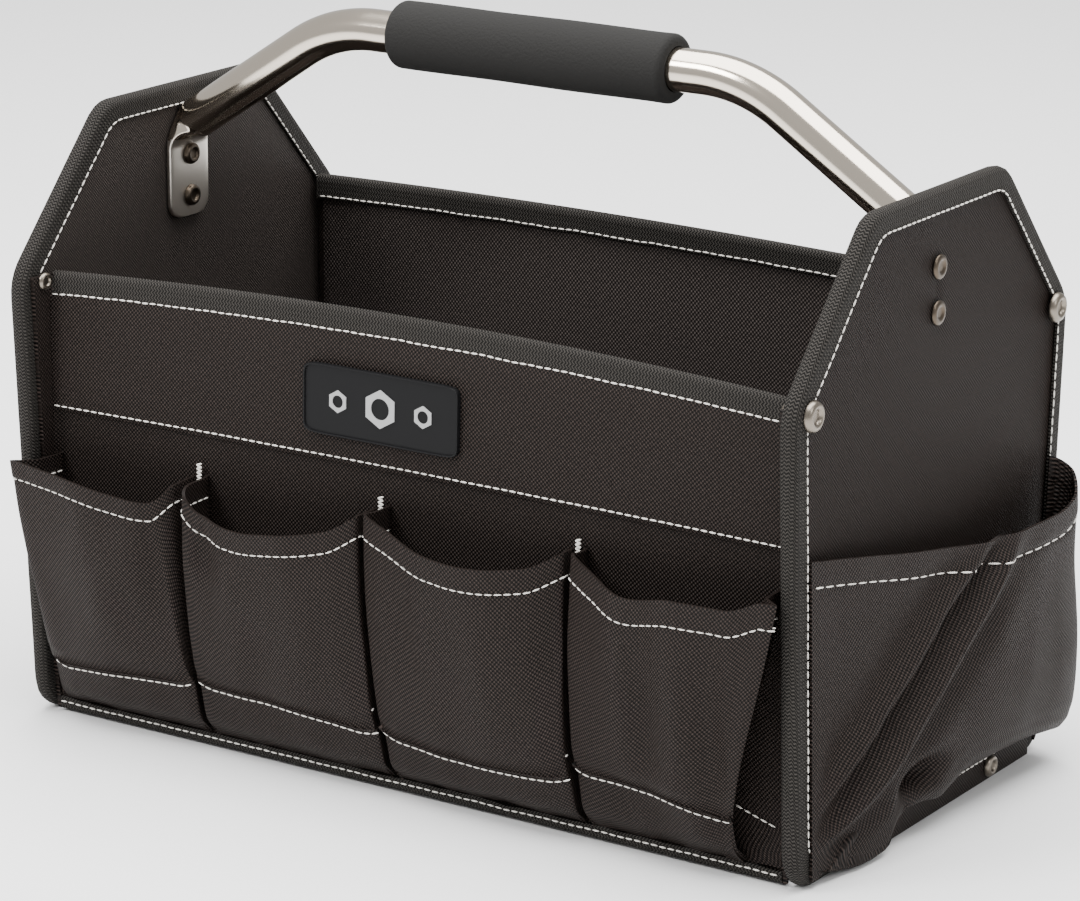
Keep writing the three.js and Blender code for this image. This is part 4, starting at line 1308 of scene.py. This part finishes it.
def plate_stations(place):
    """The flat tab straight down to its rounded corners, and its closed end."""
    run_to = TAB_BOTTOM + TAB_CORNER
    rings = [(lerp(place.y, run_to, k / PLATE_STEPS), TAB_HALF, TAB_HALF_WIDTH)
             for k in range(1, PLATE_STEPS + 1)]
    for k in range(1, CORNER_RINGS + 1):
        turn = math.pi / 2 * k / CORNER_RINGS
        width = TAB_HALF_WIDTH - TAB_CORNER * (1 - math.cos(turn))
        rings.append((run_to - TAB_CORNER * math.sin(turn), TAB_HALF, width))
    rings.append((TAB_BOTTOM, 0, 0))
    return [(Vector((place.x, z)), math.pi / 2, half, width) for z, half, width in rings]


def handle_stations():
    """From the middle of the grip to the end of the tab: place, heading, half thickness, half width."""
    across = TAB_X - STRAIGHT_HALF - TAB_BEND
    down = GRIP_HEIGHT - TAB_TOP - BEND
    gap = BEND - TAB_BEND
    slope_run = math.sqrt(across ** 2 + down ** 2 - gap ** 2)
    bend_angle = math.atan2(down, across) + math.atan2(gap, slope_run)
    stations = tube_stations(bend_angle, slope_run)
    stations += pressed_stations(stations[-1][0], bend_angle)
    return stations + plate_stations(stations[-1][0])


# %% Handle tube
half_handle = handle_stations()
HANDLE_STATIONS = [(-1, station) for station in reversed(half_handle[1:])]
HANDLE_STATIONS += [(1, station) for station in half_handle]


def handle(u, v):
    side, (spot, heading, half, width) = HANDLE_STATIONS[round(v * (len(HANDLE_STATIONS) - 1))]
    pressed = clamp((TUBE_RADIUS - half) / (TUBE_RADIUS - TAB_HALF))
    across, out = squared_circle(math.tau * u, lerp(1, SQUARE_END, pressed))
    x = spot.x + half * out * math.sin(heading)
    z = spot.y + half * out * math.cos(heading)
    return Vector((side * x, width * across, z))


tube = surface("handle_tube", 40, len(HANDLE_STATIONS) - 1, handle, closed=True)
soften(tube, 50)
declare(tube, "handle_tube", chrome)
# The pressed tabs are rougher and painted lighter: a painted highlight
line_inside(tube, pressed_chrome_highlight, lambda centre: centre.z < TAB_TOP + BRUSHED_HIGHLIGHT_FROM)
print("rings along the handle:", len(HANDLE_STATIONS))

# %% [markdown]
# ## Foam grip
# A soft sleeve with rounded ends is pushed over the straight part of the tube. It is turned on the tube's
# axis, and is a little uneven along its length.

# %% Foam grip
FOAM_RADIUS = 15 * MM
FOAM_HALF = 71 * MM
FOAM_ROUND = 3 * MM
BORE = TUBE_RADIUS + SEAM
FOAM_UNEVEN = 0.25 * MM
ROUND_STEPS, FOAM_STEPS = 6, 20


def foam_profile():
    """Out of the bore, round the edge, along the sleeve and back to the bore: (radius, x) pairs."""
    points = [(BORE, -FOAM_HALF)]
    for k in range(ROUND_STEPS + 1):
        turn = math.pi / 2 * k / ROUND_STEPS
        radius = FOAM_RADIUS - FOAM_ROUND * (1 - math.sin(turn))
        points.append((radius, -FOAM_HALF + FOAM_ROUND * (1 - math.cos(turn))))
    straight = FOAM_HALF - FOAM_ROUND
    places = [lerp(-straight, straight, k / FOAM_STEPS) for k in range(1, FOAM_STEPS)]
    middle = [(FOAM_RADIUS + FOAM_UNEVEN * wave(x, 0, 0, 25), x) for x in places]
    return points + middle + [(radius, -x) for radius, x in reversed(points)] + [(BORE, -FOAM_HALF)]


grip = lathe("foam_grip", foam_profile(), 0, GRIP_HEIGHT, sides=48)
soften(grip, 50)
declare(grip, "foam_grip", foam)
print("foam grip is", 2 * FOAM_HALF, "m long")

# %% [markdown]
# ## Rivets and studs
# Cup rivets hold the corners and the handle, and studs stiffen the base. A rivet is turned from a short
# profile: a dished head outside, a shank through the layers and a smaller cup inside.

# %% Rivet shape
RISE_SHARE = 0.22
FLAT_RISE_SHARE = 0.12
# A dished head from its axis to its rim: share of its radius, share of its rise
CUP_SHAPE = [(0, 0.45), (0.3, 0.45), (0.42, 0.5), (0.52, 0.92), (0.66, 1), (0.84, 0.86), (0.96, 0.5),
             (1, 0.1), (1, 0)]


def cup(head, seat, out, rise_share=RISE_SHARE):
    """Profile of a dished head that stands out from its seat, from the axis to the rim."""
    half, rise = head / 2, head * rise_share
    return [(half * radius, seat + out * rise * height) for radius, height in CUP_SHAPE]


def rivet_ends(node, head, shank, outer_seat, inner_seat, inner_head, y, z, tail="", rise_share=RISE_SHARE,
               finish=nickel):
    """A rivet on both ends. Its head is outside, and inside it has a smaller one or none."""
    profile = cup(head, outer_seat, 1, rise_share) + [(shank / 2, outer_seat), (shank / 2, inner_seat)]
    profile += list(reversed(cup(inner_head, inner_seat, -1))) if inner_head else [(0, inner_seat)]
    for side, name in ((1, "right"), (-1, "left")):
        full_name = f"{node}_{name}{tail}"
        piece = lathe(full_name, profile, y, z, side=side)
        soften(piece, 50)
        declare(piece, full_name, finish)


print("points in a rivet's head:", len(CUP_SHAPE))

# %% Rivets and studs
THIN_SHANK = 4 * MM
CORNER_RIVET_Z = SHOULDER_HEIGHT - 3 * MM
CORNER_RIVET_Y = end_edge(CORNER_RIVET_Z) - 13 * MM
STUDS = (STRIP_FRONT + 27 * MM, STRIP_BACK - 37 * MM)
STUD_HEIGHT = 7 * MM

for k, z in enumerate(RIVET_HEIGHTS, start=1):
    rivet_ends("handle_rivet", head=11 * MM, shank=4.6 * MM, outer_seat=PANEL_OUTER + SEAM,
               inner_seat=PANEL_INNER - 2 * SEAM - 2 * TAB_HALF, inner_head=10.2 * MM, y=0, z=z,
               tail=f"_{k}", rise_share=FLAT_RISE_SHARE, finish=dull_nickel)
for side, here in ((-1, "front"), (1, "back")):
    rivet_ends(f"corner_rivet_{here}", head=13.5 * MM, shank=THIN_SHANK, outer_seat=BAG_LENGTH / 2 + SEAM,
               inner_seat=FLANGE_X - SEAM, inner_head=8 * MM, y=side * CORNER_RIVET_Y, z=CORNER_RIVET_Z)
for k, y in enumerate(STUDS, start=1):
    rivet_ends("base_stud", head=10 * MM, shank=THIN_SHANK, outer_seat=POUCH_BASE + STRIP_THICKNESS + SEAM,
               inner_seat=BINDING_INNER, inner_head=0, y=y, z=STUD_HEIGHT, tail=f"_{k}")
print("corner rivets at height", CORNER_RIVET_Z)

# %% [markdown]
# ## Patch
# A moulded rubber patch with a raised rim is sewn on the band, and carries a plain row of three nuts. It is
# modelled flat, and each of its points is then laid on the band, so that it follows the panel's bow.

# %% Patch plate
PATCH_HALF = Vector((40 * MM, 15.5 * MM))
PATCH_X = -12 * MM
PATCH_Z = PANEL_HEIGHT - 36 * MM
PATCH_SEAT = 2 * SEAM + BAND + BAND_SWELL
PATCH_THICK = 1.6 * MM
PATCH_RIM = 0.7 * MM
PATCH_SQUARE = 0.16
RIM_SHARE = 0.6
# Rings of the plate from its middle over the rim to the middle of its back: share of its size, height
PATCH_RINGS = [(0, PATCH_THICK), (0.5, PATCH_THICK), (0.94, PATCH_THICK), (0.95, PATCH_THICK + PATCH_RIM),
               (0.988, PATCH_THICK + PATCH_RIM), (1, PATCH_THICK + PATCH_RIM * 0.4), (1, 0), (0.5, 0), (0, 0)]


def lay_on_band(piece):
    for vertex in piece.data.vertices:
        x, z = PATCH_X + vertex.co.x, PATCH_Z + vertex.co.y
        vertex.co = Vector((x, panel_face(x, z) - PATCH_SEAT - vertex.co.z, z))


def patch(u, v):
    """Near the rim the rings keep their distance from the edge, and near the middle they shrink evenly."""
    share, height = PATCH_RINGS[round(v * (len(PATCH_RINGS) - 1))]
    across, up = squared_circle(math.tau * u, PATCH_SQUARE)
    if share > RIM_SHARE:
        inset = (1 - share) * PATCH_HALF.y
        return Vector(((PATCH_HALF.x - inset) * across, (PATCH_HALF.y - inset) * up, height))
    return Vector((PATCH_HALF.x * share * across, PATCH_HALF.y * share * up, height))


plate = surface("label_patch", 96, len(PATCH_RINGS) - 1, patch, closed=True)
lay_on_band(plate)
soften(plate, 35)
declare(plate, "label_patch", rubber)
print("patch is", 2 * PATCH_HALF.x, "by", 2 * PATCH_HALF.y, "m")

# %% Three nuts in print
NUT_HEIGHT = 0.6 * MM
NUT_SEAT = 1.7 * MM
NUT_BORE_SHARE = 0.55
CUTTER_HEIGHT = 4 * MM
NUTS = [(-22 * MM, 5 * MM), (0 * MM, 8.5 * MM), (22 * MM, 5 * MM)]


def upright_cylinder(vertices, radius, depth, x):
    bpy.ops.mesh.primitive_cylinder_add(
        vertices=vertices, radius=radius, depth=depth, location=(x, 0, NUT_SEAT))
    return bpy.context.object


def patch_nut(name, x, radius):
    """A raised six-sided ring, like a nut seen from above."""
    bpy.ops.object.select_all(action="DESELECT")
    nut = upright_cylinder(6, radius, NUT_HEIGHT, x)
    nut.name = name
    bpy.ops.object.transform_apply(location=True, rotation=True, scale=True)
    cutter = upright_cylinder(24, radius * NUT_BORE_SHARE, CUTTER_HEIGHT, x)
    bore = nut.modifiers.new("bore", "BOOLEAN")
    bore.object = cutter
    apply_modifiers(nut)
    bpy.data.objects.remove(cutter)
    lay_on_band(nut)
    return declare(nut, "label_patch", print_ink)


for number, (x, radius) in enumerate(NUTS, start=1):
    nut = patch_nut(f"patch_nut_{number}", x, radius)
    print(nut.name, "has", len(nut.data.polygons), "faces")

# %% [markdown]
# ## Rows of stitches
# Every seam that shows: round the ends, along both edges of the webbing, under the band, below each rim and
# along the foot of each pocket. A bar tack holds the rim where two pockets meet, and a loose thread end is
# left in each groove. The rows use the same surfaces as the cloth, so they lie on it wherever it goes.

# %% Collecting rows
def collect(rows, tacks=()):
    seams = Seams()
    for row in rows:
        seams.row(*row)
    for tack in tacks:
        seams.tack(*tack)
    return seams


def side_seams(name, node, rows, tacks=()):
    """Stitches of a piece on the front, and the same on the back."""
    piece = collect(rows, tacks).make(f"front_{name}", f"front_{node}")
    twin = half_turn(piece, f"back_{name}")
    declare(twin, f"back_{node}", thread)


def end_seams(name, node, place, paths):
    """Stitches of a piece on the right end, and the same on the left one."""
    for side, spot in both_ends(place):
        collect([(spot, *path) for path in paths]).make(f"{name}_{side}", f"{node}_{side}")


# %% Seams of the webbing, hem and band
end_seams("end_binding_stitches", "end_binding", ring, [(level(0.03),), (level(0.97),)])
side_seams("top_stitches", "top_binding", [(top_edge, level(0.05)), (top_edge, level(0.95))])
side_seams("hem_stitches", "hem", [(hem_face, level(0.8))])
side_seams("band_stitches", "band", [(band, level(0.04))])

# %% Seams of the pockets and pouches
INSIDE = -(POCKET_WALL + 0.3 * MM)
LOW_LIFT = 0.35 * MM
LONG_LIFT = 0.3 * MM
TACK_HEIGHT = 12 * MM
TACK_DROP = 3 * MM
END_PITCH, END_STITCH = 3.4 * MM, 3 * MM
UP, FRONT = Vector((0, 0, 1)), Vector((0, -1, 0))

for number, place in enumerate(pocket_places, start=1):
    hem_row = level(V_HEM, 0.05, 0.95)
    rows = [(place, hem_row), (place, level(V_ROW, 0.185, 0.815), LOW_LIFT), (place, hem_row, INSIDE)]
    if number < len(pocket_places):
        rows.append((place, level(0.33, 0.795, 0.83), LONG_LIFT, END_PITCH, END_STITCH))
    else:
        rows.append((place, level(V_ROW, 0.965, 0.995), LOW_LIFT))
    tack = (place(0, 1) + MM * FRONT - TACK_DROP * UP, UP, FRONT, TACK_HEIGHT)
    side_seams(f"pocket_stitches_{number}", f"pocket_{number}", rows, [tack] if number > 1 else [])

long_row = (level(V_POUCH_HEM, 0.01, 0.99), LONG_LIFT, LONG_PITCH, LONG_STITCH)
end_seams("end_pocket_stitches", "end_pocket", pouch, [long_row])
end_seams("base_strip_stitches", "base_strip", base_strip, [(level(0.62),)])

# %% [markdown]
# ## Studio
# A product photograph on white has soft light from all around, so a pale floor and a bright world do most of
# the work. Three area lights give the tube and the rivets something to reflect and model the folds. The
# camera stands at the photograph's angle, far off with a long lens.

# %% Floor and world
WORLD_STRENGTH = 0.8

bpy.ops.object.select_all(action="DESELECT")
bpy.ops.mesh.primitive_plane_add(size=14)
floor = bpy.context.object
floor.name = "floor"
floor.data.materials.append(material("floor", (0.88, 0.88, 0.88), 0.6))

world = bpy.context.scene.world or bpy.data.worlds.new("world")
bpy.context.scene.world = world
world.use_nodes = True
background = world.node_tree.nodes["Background"]
background.inputs["Color"].default_value = (1, 1, 1, 1)
background.inputs["Strength"].default_value = WORLD_STRENGTH


# %% Lights
def area_light(name, location, target, size, power):
    """A square light that points at a target: size in metres, power in watts."""
    bpy.ops.object.light_add(type="AREA", location=location)
    light = bpy.context.object
    light.name = name
    light.data.size = size
    light.data.energy = power
    light.rotation_euler = (Vector(target) - Vector(location)).to_track_quat("-Z", "Y").to_euler()


area_light("key", (-0.9, -1.6, 1.6), (0, 0, 0.12), size=0.7, power=38)
area_light("side", (1.9, -0.3, 1.3), (0, 0, 0.12), size=0.6, power=10.5)
area_light("top", (0, 0.1, 2.2), (0, 0, 0.2), size=2.6, power=190)
print("lights:", len(bpy.data.lights))

# %% Camera
AZIMUTH, ELEVATION, ROLL = (math.radians(angle) for angle in (33.3, 16.2, 0.3))
DISTANCE = 1869.8 * MM
TARGET = Vector((2.1, 1.4, 129.9)) * MM
LENS, SENSOR = 140.85, 36

level_back = Vector((math.sin(AZIMUTH), -math.cos(AZIMUTH), 0)) * math.cos(ELEVATION)
back = level_back + Vector((0, 0, math.sin(ELEVATION)))
turned = Matrix.Rotation(AZIMUTH, 3, "Z") @ Matrix.Rotation(math.pi / 2 - ELEVATION, 3, "X")
turned = turned @ Matrix.Rotation(ROLL, 3, "Z")
bpy.ops.object.camera_add(location=TARGET + back * DISTANCE, rotation=turned.to_euler())
camera = bpy.context.object
camera.data.lens = LENS
camera.data.sensor_width = SENSOR
bpy.context.scene.camera = camera
print("camera at", [round(value, 3) for value in camera.location])

# %% View transform in use
print("view transform", bpy.context.scene.view_settings.view_transform)
